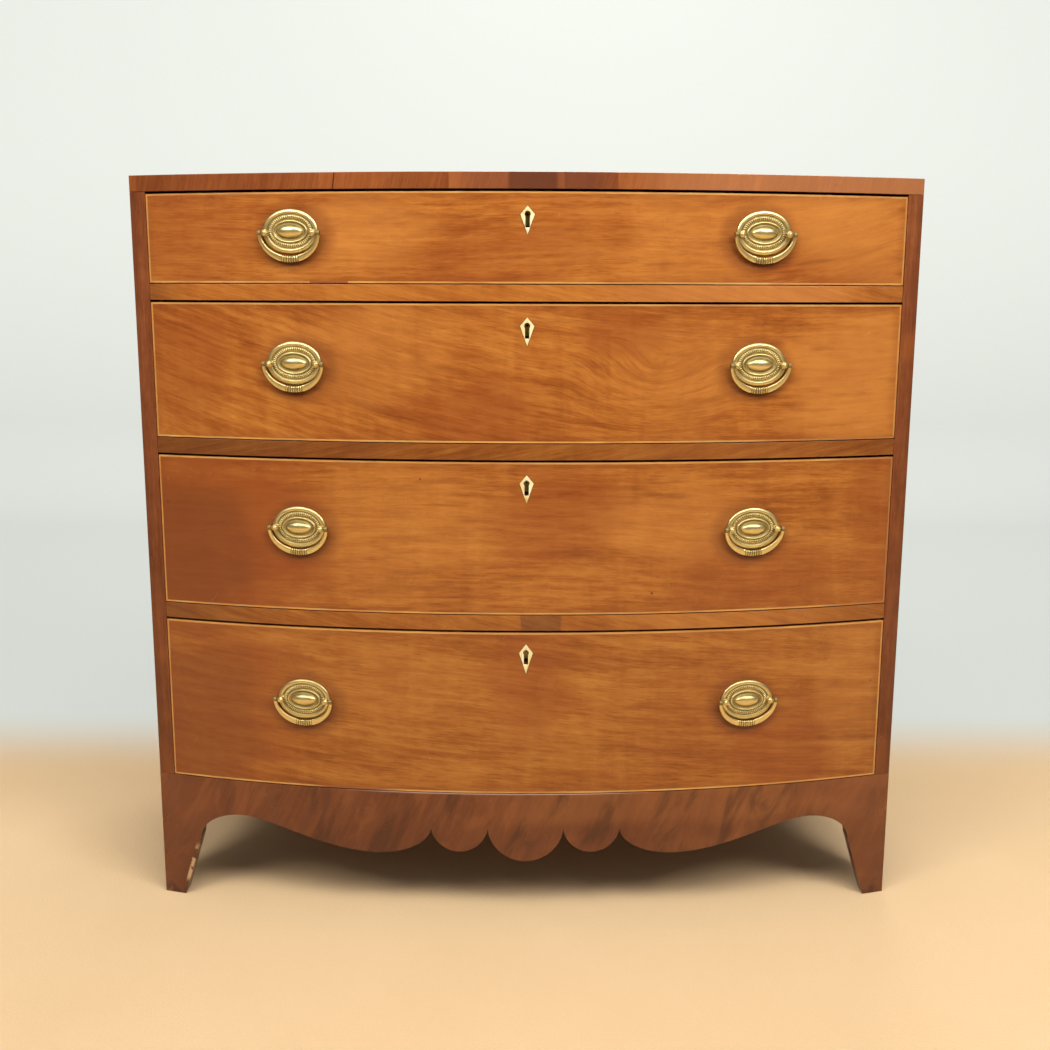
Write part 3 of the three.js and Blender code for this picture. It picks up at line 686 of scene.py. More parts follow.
def round_arch(bm, centre_y):
    """Makes the quarter oval beside a foot smooth, where the arch's crown starts at centre_y."""
    for step in range(1, ARCH_STEPS):
        angle = math.pi / 2 * step / ARCH_STEPS
        ray = Vector((0, math.cos(angle) * SIDE_REACH, math.sin(angle) * (ARCH_LEVEL - KNEE_LEVEL)))
        for hand in (-1, 1):
            normal = Vector((0, -ray.z, hand * ray.y))
            near = [f for f in bm.faces if abs(f.calc_center_median().y - centre_y) < SIDE_REACH
                    and KNEE_LEVEL - MM < f.calc_center_median().z < ARCH_LEVEL + MM
                    and abs(f.normal.x) < 0.5]
            parts = set(near)
            for face in near:
                parts.update(face.edges)
                parts.update(face.verts)
            bmesh.ops.bisect_plane(bm, geom=list(parts), dist=1e-6, plane_co=(0, centre_y, KNEE_LEVEL),
                                   plane_no=normal)
    for vertex in bm.verts:
        across = (vertex.co.y - centre_y) / SIDE_REACH
        up = (vertex.co.z - KNEE_LEVEL) / (ARCH_LEVEL - KNEE_LEVEL)
        inward = across * (1 if centre_y > (corner_y + high.y) / 2 else -1)
        length = math.hypot(across, up)
        if inward > -0.001 and up > -0.001 and abs(length - 1) < 0.02:
            vertex.co.y = centre_y + across / length * SIDE_REACH
            vertex.co.z = KNEE_LEVEL + up / length * (ARCH_LEVEL - KNEE_LEVEL)


front_crown = corner_y + SIDE_KNEE + SIDE_REACH
back_crown = corner_y + high.y - front_crown
for side, hand in HANDS.items():
    cuts = [hand * (half_width - BOARD + share * BOARD) for share in (0.25, 0.5, 0.75)]
    bm = bowed_copy(f"side_panel_{side}", cuts, 1)
    round_arch(bm, front_crown)
    round_arch(bm, back_crown)
    soften(bm, 0.8 * MM, lambda v: abs(v.co.x - hand * half_width) < MM / 10)
    piece(bm, f"side_board_{side}", "carcass", [side_wood, stile_wood],
          f"side_panel_{side}", bowed=True)
print("sides with crowns at", round(front_crown, 3), round(back_crown, 3))

# %% [markdown]
# ## Apron
# Below the lowest drawer hangs a curved board with a scalloped edge, and its ends are the front feet.
# The outline could be copied from the solid, but its curves would show corners, so it is drawn again
# from the same ovals with many more points. The flat outline is filled, cut into narrow strips, given
# its thickness and then bent onto the bow.

# %% draw the apron's outline
LOBE_LEVEL = 135.5 * MM
CENTRE_LOBE, SIDE_LOBE, CUSP_DROP = 52.2 * MM, 39.2 * MM, 4.3 * MM
OUTER_RUN, OUTER_DROP = 77 * MM, 40 * MM
FOOT_FLOOR, FOOT_KNEE, ARCH_REACH = 31 * MM, 59 * MM, 64 * MM
OGEE_SHARES = (0.41, 0.24)
APRON_THICK = 26 * MM
apron_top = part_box("apron")[1].z


def oval(centre, radii, start, end, steps):
    """Points round part of an oval, from one angle to another."""
    angles = [start + (end - start) * step / steps for step in range(steps + 1)]
    return [(centre[0] + radii[0] * math.cos(a), centre[1] + radii[1] * math.sin(a)) for a in angles]


def ogee(start, end, steps):
    """The slow double curve between the outer lobe and the arch."""
    run = end[0] - start[0]
    pulls = (start, (start[0] + run * OGEE_SHARES[0], start[1]), (end[0] - run * OGEE_SHARES[1], end[1]), end)
    points = []
    for step in range(steps + 1):
        t = step / steps
        weights = ((1 - t) ** 3, 3 * t * (1 - t) ** 2, 3 * t * t * (1 - t), t ** 3)
        points.append(tuple(sum(w * p[i] for w, p in zip(weights, pulls)) for i in (0, 1)))
    return points


cusp_x = math.sqrt(CENTRE_LOBE ** 2 - CUSP_DROP ** 2)
side_half = math.sqrt(SIDE_LOBE ** 2 - CUSP_DROP ** 2)
side_x = cusp_x + side_half
outer_x = side_x + side_half + OUTER_RUN
crown_x = half_width - FOOT_KNEE - ARCH_REACH
cusp_level = LOBE_LEVEL - CUSP_DROP
centre_end = -math.asin(CUSP_DROP / CENTRE_LOBE)
side_start = math.asin(CUSP_DROP / SIDE_LOBE)
half_edge = (oval((0, LOBE_LEVEL), (CENTRE_LOBE, CENTRE_LOBE), -math.pi / 2, centre_end, 28)
             + oval((side_x, LOBE_LEVEL), (SIDE_LOBE, SIDE_LOBE), math.pi + side_start,
                    2 * math.pi - side_start, 40)[1:]
             + oval((outer_x, cusp_level), (OUTER_RUN, OUTER_DROP), math.pi, 1.5 * math.pi, 30)[1:]
             + ogee((outer_x, cusp_level - OUTER_DROP), (crown_x, ARCH_LEVEL), 40)[1:]
             + oval((crown_x, KNEE_LEVEL), (ARCH_REACH, ARCH_LEVEL - KNEE_LEVEL), math.pi / 2, 0, 24)[1:]
             + [(half_width - FOOT_FLOOR, 0), (half_width, 0)])
outline = ([(-x, z) for x, z in reversed(half_edge[1:])] + half_edge
           + [(half_width, apron_top), (-half_width, apron_top)])
print("apron outline", len(outline), "points, lobes at", round(side_x, 4), round(outer_x, 4))

# %% finish of the apron
CHIP_LOW, CHIP_HIGH = 0.018, 0.085


def apron_shade(made):
    """Flames that lean with the veneer, dark lobes, a painted highlight and wear along the top arris, and a
    chip beside a foot.
    """
    glow = made.noise(made.place, (5, 4, 7), (2.0, 1.0, 0.0), detail=3.0).above(0.45, 0.65)
    made.stain(glow * made.x.above(-0.3, 0.4) * 0.5, (0.33, 0.105, 0.028))
    bright = made.x.within(-0.06, 0.02, 0.34, 0.44) * made.z.above(0.125, 0.150)
    made.stain(bright * 0.35, (0.33, 0.108, 0.028))
    made.stain(made.z.below(0.115, 0.145) * 0.25, (0.10, 0.030, 0.012))
    leaning = made.vector(made.x - made.z * 0.35, made.y, made.z)
    flame = made.noise(leaning, (20, 4, 8), (5.0, 0, 0), detail=4.0, roughness=0.6, distortion=0.5)
    made.stain(flame.above(0.50, 0.64) * 0.62, (0.060, 0.019, 0.007))
    made.stain(flame.below(0.36, 0.46) * 0.35, (0.30, 0.088, 0.023))
    made.stain(abs(made.x).above(0.40, 0.5) * 0.35, (0.23, 0.064, 0.020))
    # A pale line along the top arris: a painted highlight, and wear.
    rubbed_and_lit = made.z.above(apron_top - 0.0016, apron_top - 0.0008) * abs(made.x + 0.04).below(0.1, 0.24)
    made.stain(rubbed_and_lit * 0.6, (0.60, 0.42, 0.33))
    scuffed = made.z.below(0.004, 0.03) * made.noise(made.place, (80, 80, 80), detail=4.0).above(0.45, 0.6)
    made.stain(scuffed * 0.7, (0.045, 0.02, 0.012))
    foot_edge = made.x + half_width - FOOT_FLOOR - made.z * ((FOOT_KNEE - FOOT_FLOOR) / KNEE_LEVEL)
    ragged = made.noise(made.place, (90, 90, 60), detail=3.0)
    chip = foot_edge.above(-0.006, -0.0045) * ragged.above(0.44, 0.5)
    chip = chip * made.z.within(CHIP_LOW, CHIP_LOW + 0.01, CHIP_HIGH - 0.02, CHIP_HIGH)
    chip = chip * made.x.below(-0.4, -0.39) * made.y.below(corner_y + 0.012, corner_y + 0.016)
    made.stain(chip * 0.9, (0.62, 0.36, 0.17))


def lay_apron(made):
    """Grain that stands nearly upright and leans outwards on both sides."""
    return made.z + abs(made.x) * 0.75, made.x - made.z * 0.45, bow_depth(made)


apron_wood = mahogany("apron_wood", lay_apron, 31.0, scaled(RED_TONES, 0.92), waviness=0.10, figure=0.6,
                      strength=0.5, shade=apron_shade)
print("apron finish", apron_wood.material.name)

# %% make the apron
bm = bmesh.new()
bm.faces.new([bm.verts.new((x, 0, z)) for x, z in outline])
slices(bm, stations(half_width))
grown = bmesh.ops.extrude_face_region(bm, geom=bm.faces[:])
bmesh.ops.translate(bm, verts=[v for v in grown["geom"] if isinstance(v, bmesh.types.BMVert)],
                    vec=(0, 1, 0))
for vertex in bm.verts:
    vertex.co.y = bow_y(vertex.co.x, APRON_THICK if vertex.co.y > 0.5 else 0.0)
bmesh.ops.recalc_face_normals(bm, faces=bm.faces[:])
soften(bm, 0.6 * MM, lambda v: on_arc(v, bow_radius, MM / 10))
piece(bm, "apron_board", "carcass", [apron_wood], "apron", bowed=True)

# %% [markdown]
# ## Drawer fronts
# The four fronts are veneered with faded golden mahogany. The veneer of each was cut from another
# place in the log, so each has its own slant of grain, its own clouds and its own share of red. The
# front is a smooth copy of the solid, sunk by a tenth of a millimetre so that the boxwood line lies
# just proud of it, as it does on old pieces where the wood has shrunk.

# %% finishes of the fronts
SUNK = 0.1 * MM
KNUCKLE = 3.6 * MM
HANDLE_X = 302 * MM
# For each front: how its grain lies, how light it is, how strong its figure is and how smudged it is.
FRONTS = {1: ((0.01, -0.02, 0.55), 1.0, 0.8, 0.40),
          2: ((0.15, -0.22, 0.0, (0.16, 0.735, 0.13, 0.07)), 0.97, 1.2, 0.30),
          3: ((0.02, 0.05), 0.92, 1.1, 0.40), 4: ((0.10, -0.02), 0.86, 0.9, 0.30)}
plate_levels = {n: sum(corner.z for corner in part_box(f"drawer_{n}_plate_left")) / 2 for n in DRAWERS}
pin_levels = {n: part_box(f"drawer_{n}_bail_left")[1].z - KNUCKLE for n in DRAWERS}
RED, DARK, GOLD = (0.28, 0.060, 0.011), (0.13, 0.033, 0.009), (0.58, 0.212, 0.040)
# Where the veneer of each drawer changes: x, share of the height, half width, half height, strength
# and colour. Places in metres. The gold patch high at the right of the top drawer is a painted sheen.
PATCHES = {
    1: [(-0.44, 0.45, 0.09, 0.07, 0.40, RED), (-0.21, 0.55, 0.09, 0.06, 0.45, GOLD),
        (-0.06, 0.25, 0.14, 0.04, 0.35, RED), (0.07, 0.60, 0.07, 0.05, 0.30, RED),
        (0.21, 0.45, 0.09, 0.07, 0.30, GOLD), (0.40, 0.18, 0.10, 0.03, 0.30, RED),
        # The first patch here, high at the right of the top drawer, is a painted sheen.
        (0.38, 0.72, 0.12, 0.035, 0.50, GOLD), (0.44, 0.50, 0.10, 0.07, 0.40, GOLD)],
    2: [(-0.22, 0.62, 0.12, 0.07, 0.35, GOLD), (-0.07, 0.20, 0.10, 0.05, 0.45, RED),
        (0.12, 0.78, 0.06, 0.03, 0.45, RED), (0.21, 0.50, 0.09, 0.07, 0.30, GOLD),
        (0.43, 0.45, 0.10, 0.10, 0.65, GOLD), (-0.45, 0.50, 0.06, 0.12, 0.45, RED)],
    3: [(-0.43, 0.50, 0.16, 0.16, 0.80, RED), (-0.45, 0.35, 0.09, 0.10, 0.45, DARK),
        (-0.17, 0.60, 0.13, 0.09, 0.25, GOLD), (0.03, 0.66, 0.09, 0.07, 0.45, RED),
        (0.20, 0.60, 0.10, 0.07, 0.35, GOLD), (0.31, 0.24, 0.14, 0.06, 0.45, RED),
        (0.48, 0.50, 0.05, 0.15, 0.45, RED)],
    4: [(-0.43, 0.50, 0.14, 0.16, 0.58, RED), (-0.44, 0.45, 0.08, 0.12, 0.30, DARK),
        (0.0, 0.70, 0.06, 0.08, 0.45, RED), (-0.16, 0.66, 0.13, 0.06, 0.15, GOLD),
        (0.36, 0.26, 0.07, 0.08, 0.50, RED), (0.22, 0.48, 0.07, 0.08, 0.18, RED),
        (0.45, 0.60, 0.05, 0.10, 0.25, GOLD)],
}


def front_shade(n, smudged):
    """The veneer's patches, on the top drawer one a painted sheen, its smudges, dark edges, grime and a
    painted shadow round the handles, and small dents.
    """
    box_low, box_high = fronts[n]

    def shade(made):
        wander = (made.noise(made.place, (9, 3, 22), (n * 5.0, 0, n * 2.0), detail=4.0) - 0.5) * 2.6
        for x, share, half, tall, strength, tint in PATCHES[n]:
            level = box_low.z + share * (box_high.z - box_low.z)
            spot = off_centre(made.x, made.z, x, level, half, tall) + wander
            made.stain(spot.below(0.2, 1.5) * strength, tint)
        smudge = made.noise(made.place, (9, 4, 70), (n * 7.0, 0, n * 3.0), detail=4.0, roughness=0.65)
        made.stain(smudge.above(0.54, 0.72) * smudged, (0.19, 0.043, 0.010))
        edge = (made.z - box_low.z).least(box_high.z - made.z).least(front_half - abs(made.x))
        made.stain(edge.below(0.002, 0.016) * 0.25, (0.20, 0.046, 0.012))
        # Grime round each handle, and a painted shadow of it: the dark oval sits a little inwards of and
        # below the plate.
        grime_and_shade = off_centre(abs(made.x), made.z, HANDLE_X - 0.006, plate_levels[n] - 0.007, 0.052, 0.045)
        made.stain(grime_and_shade.below(0.55, 1.3) * 0.45, (0.15, 0.035, 0.01))
        dents = made.node("TexVoronoi", {"feature": "F1"},
                          {"Vector": made.place, "Scale": 9.0, "Randomness": 1.0}, "Distance")
        made.stain(dents.below(0.012, 0.022) * 0.7, (0.09, 0.025, 0.01))
    return shade


print("patches on the fronts", [len(PATCHES[n]) for n in DRAWERS])

# %% make the fronts
for n, (lie, lightness, figure, smudged) in FRONTS.items():
    veneer = mahogany(f"front_wood_{n}", lay_along(*lie), 40.0 + 7 * n, scaled(GOLD_TONES, lightness),
                      waviness=0.035, figure=figure, shade=front_shade(n, smudged))
    bm = bowed_copy(f"drawer_{n}_front", stations(front_half), 0, SUNK)
    to_arc(bm, bow_radius - BOARD)
    piece(bm, f"drawer_{n}_veneered_front", f"drawer_{n}", [veneer, raw_wood],
          f"drawer_{n}_front", bowed=True)
print("fronts sunk by", SUNK)

# %% [markdown]
# ## Boxwood lines
# A line of pale boxwood, little more than two millimetres wide, runs round each front. It could be
# painted in the front's material, but a real strip catches light on its own edge. Spinning a small
# section about the bow's centre makes a bar that follows the curve exactly.

# %% a bar that follows the bow
LINE, LINE_DEPTH = 2.3 * MM, 1.4 * MM
PROUD_UP, PROUD_ASIDE = 0.03 * MM, 0.02 * MM


def bow_bar(bm, from_x, to_x, low_z, high_z, steps):
    """A bar along the bow between two places across the chest."""
    start, end = math.asin(from_x / bow_radius), math.asin(to_x / bow_radius)
    inner = bow_radius - LINE_DEPTH
    corners = [(bow_radius, low_z), (inner, low_z), (inner, high_z), (bow_radius, high_z)]
    section = [bm.verts.new((radius * math.sin(start), bow_centre - radius * math.cos(start), z))
               for radius, z in corners]
    edges = [bm.edges.new((section[i], section[i - 1])) for i in range(4)]
    bmesh.ops.spin(bm, geom=section + edges, cent=(0, bow_centre, 0), axis=(0, 0, 1), angle=end - start,
                   steps=steps)
    bmesh.ops.holes_fill(bm, edges=[e for e in bm.edges if e.is_boundary], sides=4)


print("lines", LINE, "wide")

# %% make the lines


def boxwood(n, bottom_z):
    """Pale wood that has darkened in places, and is lost in one stretch of each drawer."""
    made = Finish(f"boxwood_{n}", roughness=0.36, Coat_Weight=0.3, Coat_Roughness=0.18)
    tone = grain(made, made.x, made.z, made.y, 60.0 + n, 0.001)[0]
    made.colour = made.ramp(tone, [(0.2, (0.46, 0.17, 0.034)), (0.55, (0.60, 0.28, 0.062)),
                                   (0.85, (0.72, 0.40, 0.11))])
    age = made.noise(made.place, (9, 9, 14), (n * 3.0, 0, 0), detail=3.0).above(0.54, 0.66)
    made.stain(age * 0.5, (0.40, 0.135, 0.03))
    upright = abs(made.x).above(front_half - 0.003, front_half - 0.0025)
    made.stain(upright * 0.45, (0.48, 0.17, 0.035))
    bottom = made.z.below(bottom_z + 0.0035, bottom_z + 0.004)
    lost = {1: made.x.within(-0.279, -0.278, -0.229, -0.228) * bottom,
            2: made.x.above(0.28, 0.36) * bottom * 0.6,
            3: made.x.above(0.40, 0.43) * 0.55,
            4: made.x.within(-0.30, -0.27, -0.21, -0.16) * bottom}[n]
    made.stain(lost * 0.9, (0.24, 0.06, 0.016))
    made.set("Base Color", made.colour)
    made.bump(tone, 0.0002, 0.3)
    return made


for n, (box_low, box_high) in fronts.items():
    bm = bmesh.new()
    for low_z, high_z in ((box_low.z - PROUD_UP, box_low.z + LINE),
                          (box_high.z - LINE, box_high.z + PROUD_UP)):
        bow_bar(bm, -front_half, front_half, low_z, high_z, 120)
    for hand in HANDS.values():
        bow_bar(bm, hand * (front_half - LINE), hand * (front_half + PROUD_ASIDE), box_low.z + LINE,
                box_high.z - LINE, 2)
    piece(bm, f"drawer_{n}_boxwood_line", f"drawer_{n}", [boxwood(n, box_low.z)])
print("boxwood lines on", len(fronts), "fronts")

# %% [markdown]
# ## Bone kites
# Each keyhole has a kite of bone let into the veneer, with a dark line of old wax round it. A flat
# outline with a hole can be filled by one operator, which saves cutting the keyhole out of a solid
# afterwards.

# %% finish of the bone
bone = Finish("bone", roughness=0.38, Coat_Weight=0.25, Coat_Roughness=0.2)
haze = bone.noise(bone.place, (60, 60, 25), detail=4.0)
canals = bone.noise(bone.place, (500, 500, 60), detail=2.0).above(0.58, 0.72)
bone.colour = bone.ramp(haze, [(0.3, (0.70, 0.47, 0.16)), (0.5, (0.88, 0.69, 0.31)),
                               (0.72, (0.95, 0.83, 0.48))])
bone.stain(canals * 0.35, (0.45, 0.28, 0.1))
bone.set("Base Color", bone.colour)
bone.bump(haze - canals * 0.4, 0.0002, 0.3)

wax = Finish("dark_wax", roughness=0.5)
wax_tone = wax.noise(wax.place, (300, 300, 300), detail=2.0)
wax.set("Base Color", wax.ramp(wax_tone, [(0.3, (0.022, 0.01, 0.006)), (0.7, (0.07, 0.028, 0.012))]))
wax.bump(wax_tone, 0.0002, 0.4)
print("bone and wax")

# %% make the kites
KITE_SHOULDER = 0.29
KITE_ARRIS = 0.25 * MM
WAX_WIDTH, WAX_GAP, WAX_BACK, WAX_SUNK = 0.75 * MM, 0.02 * MM, 0.6 * MM, 0.04 * MM
KEY_DROP = 27.5 * MM
KEY_RADIUS, KEY_SLOT, KEY_LENGTH = 3.85 * MM, 5.6 * MM, 20 * MM


def kite_points(half, height, level, margin):
    tall, wide = height + 2 * margin, half + margin
    shoulder = tall * KITE_SHOULDER
    return [(0, level + shoulder), (-wide, level), (0, level + shoulder - tall), (wide, level)]


def keyhole_points(level):
    turn = math.acos(KEY_SLOT / 2 / KEY_RADIUS)
    foot = level + KEY_RADIUS - KEY_LENGTH
    bulb = oval((0, level), (KEY_RADIUS, KEY_RADIUS), -turn, math.pi + turn, 28)
    return [(-KEY_SLOT / 2, foot), (KEY_SLOT / 2, foot)] + bulb


def slab(outlines, back, front):
    """A flat slab between two depths, from an outline and the holes in it."""
    bm = bmesh.new()
    for points in outlines:
        ring = [bm.verts.new((x, back, z)) for x, z in points]
        for index in range(len(ring)):
            bm.edges.new((ring[index - 1], ring[index]))
    bmesh.ops.triangle_fill(bm, use_beauty=True, use_dissolve=False, edges=bm.edges[:], normal=(0, 1, 0))
    grown = bmesh.ops.extrude_face_region(bm, geom=bm.faces[:])
    bmesh.ops.translate(bm, verts=[v for v in grown["geom"] if isinstance(v, bmesh.types.BMVert)],
                        vec=(0, front - back, 0))
    bmesh.ops.recalc_face_normals(bm, faces=bm.faces[:])
    return bm


for n in DRAWERS:
    kite_low, kite_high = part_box(f"drawer_{n}_escutcheon")
    level = fronts[n][1].z - KEY_DROP
    half, height = kite_high.x, kite_high.z - kite_low.z
    bm = slab([kite_points(half, height, level, 0), keyhole_points(level)], kite_high.y, front_y)
    soften(bm, KITE_ARRIS, lambda v: abs(v.co.y - front_y) < 1e-6)
    piece(bm, f"drawer_{n}_kite", f"drawer_{n}", [bone], f"drawer_{n}_escutcheon")
    bm = slab([kite_points(half, height, level, WAX_WIDTH), kite_points(half, height, level, WAX_GAP)],
              front_y + WAX_BACK, front_y + WAX_SUNK)
    piece(bm, f"drawer_{n}_kite_wax", f"drawer_{n}", [wax])

# %% [markdown]
# ## Brass
# Old brass is never one colour. High places are rubbed bright, hollows keep dark polish and a green
# grey tarnish. The mesh knows which places are high: each handle stores its height in a vertex attribute,
# and the material mixes tarnish in by it. On the plates, faces that point up are given less height, so
# their tops darken: dust, and painted shade.

# %% finish of the brass
BRIGHT, TARNISH = (0.82, 0.66, 0.30), (0.22, 0.165, 0.058)
brass = Finish("handle_brass", roughness=0.33, metallic=1.0)
rubbed_and_lit = brass.node("Attribute", {"attribute_name": "height"}, {}, "Fac")
cloud = brass.noise(brass.place, (70, 70, 70), detail=4.0)
speck = brass.noise(brass.place, (500, 500, 500), detail=3.0)
# Tarnish follows the stored height: dirt in the hollows, and on the plates painted shade on faces that point
# up.
dirt_and_shade = (rubbed_and_lit * -1.25 + 1.0 + (cloud - 0.5) * 0.8).above(0.15, 0.95)
brass.colour = brass.mix(cloud, BRIGHT, [c * 0.82 for c in BRIGHT])
brass.stain(dirt_and_shade * 0.85, TARNISH)
brass.stain(speck.above(0.6, 0.75) * 0.4, [c * 0.5 for c in TARNISH])
brass.set("Base Color", brass.colour)
brass.set("Roughness", dirt_and_shade * 0.25 + speck * 0.12 + 0.27)
brass.bump(speck * 0.6 + cloud, 0.0003, 0.25)
print("brass", brass.material.name)

# %% [markdown]
# ## Stamped plates
# The oval plates were stamped from thin sheet: a broad rounded rim, a ring of short gadroons, a raised
# oval ring and an almond boss. A lathe shape gives the right loops of points: each loop is one station of
# the profile. The loops are then pulled to ovals of their own size, and the gadroons push points up and
# down round the loop.

# %% the plate's stations
# Each station, in millimetres from the rim to the middle: half width, half height and how far out it
# stands. Some rows add how much the gadroons move it, and then how pointed its oval is.
PLATE = [
    (36.5, 28.0, 0.0), (36.5, 28.0, 0.7), (36.3, 27.8, 1.15), (35.9, 27.4, 1.5), (35.2, 26.7, 2.0),
    (34.2, 25.7, 2.45), (33.0, 24.5, 2.7), (31.9, 23.4, 2.6), (30.9, 22.4, 2.2), (30.2, 21.7, 1.7),
    (29.8, 21.3, 1.3), (29.4, 20.9, 1.4), (28.9, 20.4, 1.8, 0.35), (28.2, 19.6, 2.2, 0.8),
    (27.4, 18.7, 2.4, 1.0), (26.5, 17.7, 2.4, 1.0), (25.6, 16.7, 2.2, 0.9), (24.9, 15.9, 1.9, 0.5),
    (24.5, 15.4, 1.65, 0.1), (24.2, 15.0, 1.5), (23.9, 14.7, 1.7), (23.5, 14.3, 2.3), (23.0, 13.8, 3.0),
    (22.5, 13.3, 3.35), (21.9, 12.8, 3.3), (21.2, 12.2, 2.9), (20.3, 11.5, 2.3), (19.3, 10.7, 1.85),
    (18.3, 9.7, 1.75), (17.5, 8.9, 2.0, 0, 1.05), (16.9, 8.3, 2.7, 0, 1.1), (16.1, 7.8, 3.6, 0, 1.12),
    (14.8, 7.2, 4.7, 0, 1.12), (12.6, 6.2, 5.8, 0, 1.1), (9.6, 4.8, 6.75, 0, 1.05), (6.3, 3.2, 7.35),
    (3.1, 1.6, 7.7), (0.0, 0.0, 7.8),
]
PLATE = [row + (0, 1)[len(row) - 3:] for row in PLATE]
HIGH_STATIONS = (3, 4, 5, 6, 7, 8, 14, 15, 16, 23, 24, 25, 32, 33, 34, 35, 36, 37, 38)
GADROONS = 54
AROUND = 6
STEPS = GADROONS * AROUND
GADROON_RISE = 1.4
PLATE_GAP = 0.3 * MM
GADROON_OVAL = (26.6, 17.8)
POST_X = 31.5 * MM
PIVOT = 7.5 * MM
BAIL_LEAN = math.radians(6.5)
print("plate stations", len(PLATE), "points round", STEPS)

# %% shape one plate


def settle_dust_and_shade(bm, layer):
    """Lowers the stored height of points that face up, so they darken: dust and old polish, and painted shade
    on the tops.
    """
    bm.normal_update()
    for vertex in bm.verts:
        vertex[layer] *= 1 - 0.75 * min(1.0, max(0.0, vertex.normal.z * 1.4))


def even_angles(wide, tall, steps):
    """Angles that divide an oval into equal lengths."""
    fine = np.linspace(0, 2 * math.pi, 20001)
    short = np.hypot(wide * np.diff(np.cos(fine)), tall * np.diff(np.sin(fine)))
    length = np.concatenate([[0], np.cumsum(short)])
    return np.interp(np.arange(steps) / steps * length[-1], length, fine)


RING_ANGLES = even_angles(*GADROON_OVAL, STEPS)


def handle_place(n, hand):
    """Turns a handle's own space, whose -Y points out of the front, into the chest's."""
    angle = math.asin(hand * HANDLE_X / bow_radius)
    return (Matrix.Translation((hand * HANDLE_X, bow_y(HANDLE_X), pin_levels[n]))
            @ Matrix.Rotation(angle, 4, "Z"))


def lathe(profile, steps):
    """Spins a profile of radius and height about the Y axis, pointing towards -Y."""
    bm = bmesh.new()
    points = [bm.verts.new((radius, -height, 0)) for radius, height in profile]
    edges = [bm.edges.new(pair) for pair in zip(points, points[1:])]
    bmesh.ops.spin(bm, geom=points + edges, cent=(0, 0, 0), axis=(0, 1, 0), angle=2 * math.pi, steps=steps,
                   use_merge=True)
    bmesh.ops.remove_doubles(bm, verts=bm.verts[:], dist=1e-7)
    return bm


def plate_mesh(rise):
    """One plate in a handle's own space, rise above its posts, with the height of its relief stored."""
    count = len(PLATE)
    profile = [(0.0, 0.0)] + [(1.0, index + 1.0) for index in range(count - 1)] + [(0.0, float(count))]
    bm = lathe(profile, STEPS)
    layer = bm.verts.layers.float.new("height")
    for vertex in bm.verts:
        order = round(-vertex.co.y)
        turn = round(math.atan2(vertex.co.z, vertex.co.x) / (2 * math.pi) * STEPS) % STEPS
        if order == 0:
            vertex.co = Vector((0, 0, 0))
            continue
        wide, tall, out, gadroon, point = PLATE[order - 1]
        cosine, sine = math.cos(RING_ANGLES[turn]), math.sin(RING_ANGLES[turn])
        swell = abs(math.cos(math.pi * turn / AROUND))
        out += gadroon * GADROON_RISE * (swell - 0.5)
        up = tall * math.copysign(abs(sine) ** point, sine)
        vertex.co = Vector((wide * cosine, -out, up)) * MM
        high_place = 0.8 if order in HIGH_STATIONS else 0.1
        shine = high_place * (1 - gadroon) + gadroon * (1.1 * swell - 0.2)
        vertex[layer] = shine + 0.15 * out / PLATE[-1][2]
    bmesh.ops.translate(bm, verts=bm.verts[:], vec=(0, -PLATE_GAP, rise))
    bmesh.ops.recalc_face_normals(bm, faces=bm.faces[:])
    settle_dust_and_shade(bm, layer)
    return bm


print("gadroons", GADROONS, "high stations", len(HIGH_STATIONS))

# %% [markdown]
# ## Posts
# Two turned posts hold each handle. A post goes through the plate and the drawer front, and ends in
# a nut inside the drawer. Its head is a button with fine rings, and the handle's pin enters it from the
# side. A post is turned work, so its profile is spun.

# %% shape the posts
POST = [
    (0.0, -25.7), (4.6, -25.7), (5.0, -25.3), (5.0, -23.1), (4.7, -22.7), (2.2, -22.7), (2.2, 0.4),
    (4.0, 0.4), (4.2, 2.2), (3.6, 2.8), (3.0, 3.2), (2.9, 3.9), (3.3, 4.3), (4.0, 4.6), (4.35, 5.2),
    (4.4, 6.2), (4.4, 8.0), (4.2, 9.2), (3.8, 10.0), (3.5, 10.05), (3.2, 10.2), (2.9, 10.8), (2.4, 11.3),
    (2.0, 11.25), (1.7, 11.4), (1.2, 11.8), (0.6, 11.95), (0.0, 12.0),
]
POST_TIP, POST_HEAD = 10.9, 4.9


def add_turned(bm, profile, steps, place, press=None):
    """Adds a turned piece, whose profile is in millimetres. press may shape it before it is placed."""
    turned = lathe([(radius * MM, out * MM) for radius, out in profile], steps)
    if press is not None:
        press(turned)
    bmesh.ops.transform(turned, matrix=place, verts=turned.verts[:])
    data = bpy.data.meshes.new("turned")
    turned.to_mesh(data)
    turned.free()
    bm.from_mesh(data)
    bpy.data.meshes.remove(data)


def posts_mesh():
    """Both posts of a handle. The heads are rubbed bright, most of all on their crowns."""
    bm = bmesh.new()
    for end in HANDS.values():
        add_turned(bm, POST, 32, Matrix.Translation((end * POST_X, 0, 0)))
    layer = bm.verts.layers.float.new("height")
    for vertex in bm.verts:
        out = -vertex.co.y / MM
        vertex[layer] = 0.95 if out > POST_TIP else 0.75 if out > POST_HEAD else 0.25
    return bm


print("post profile", len(POST), "points")

# %% [markdown]
# ## Bail handles
# The bail is a flat curved bar that widens to a ribbed grip. Its ends carry knuckles with pins that turn
# in the posts. A section is carried along the curve one step at a time: extrude the loop, then move
# it to the next station. The ribs of the grip are stations that swell and shrink.

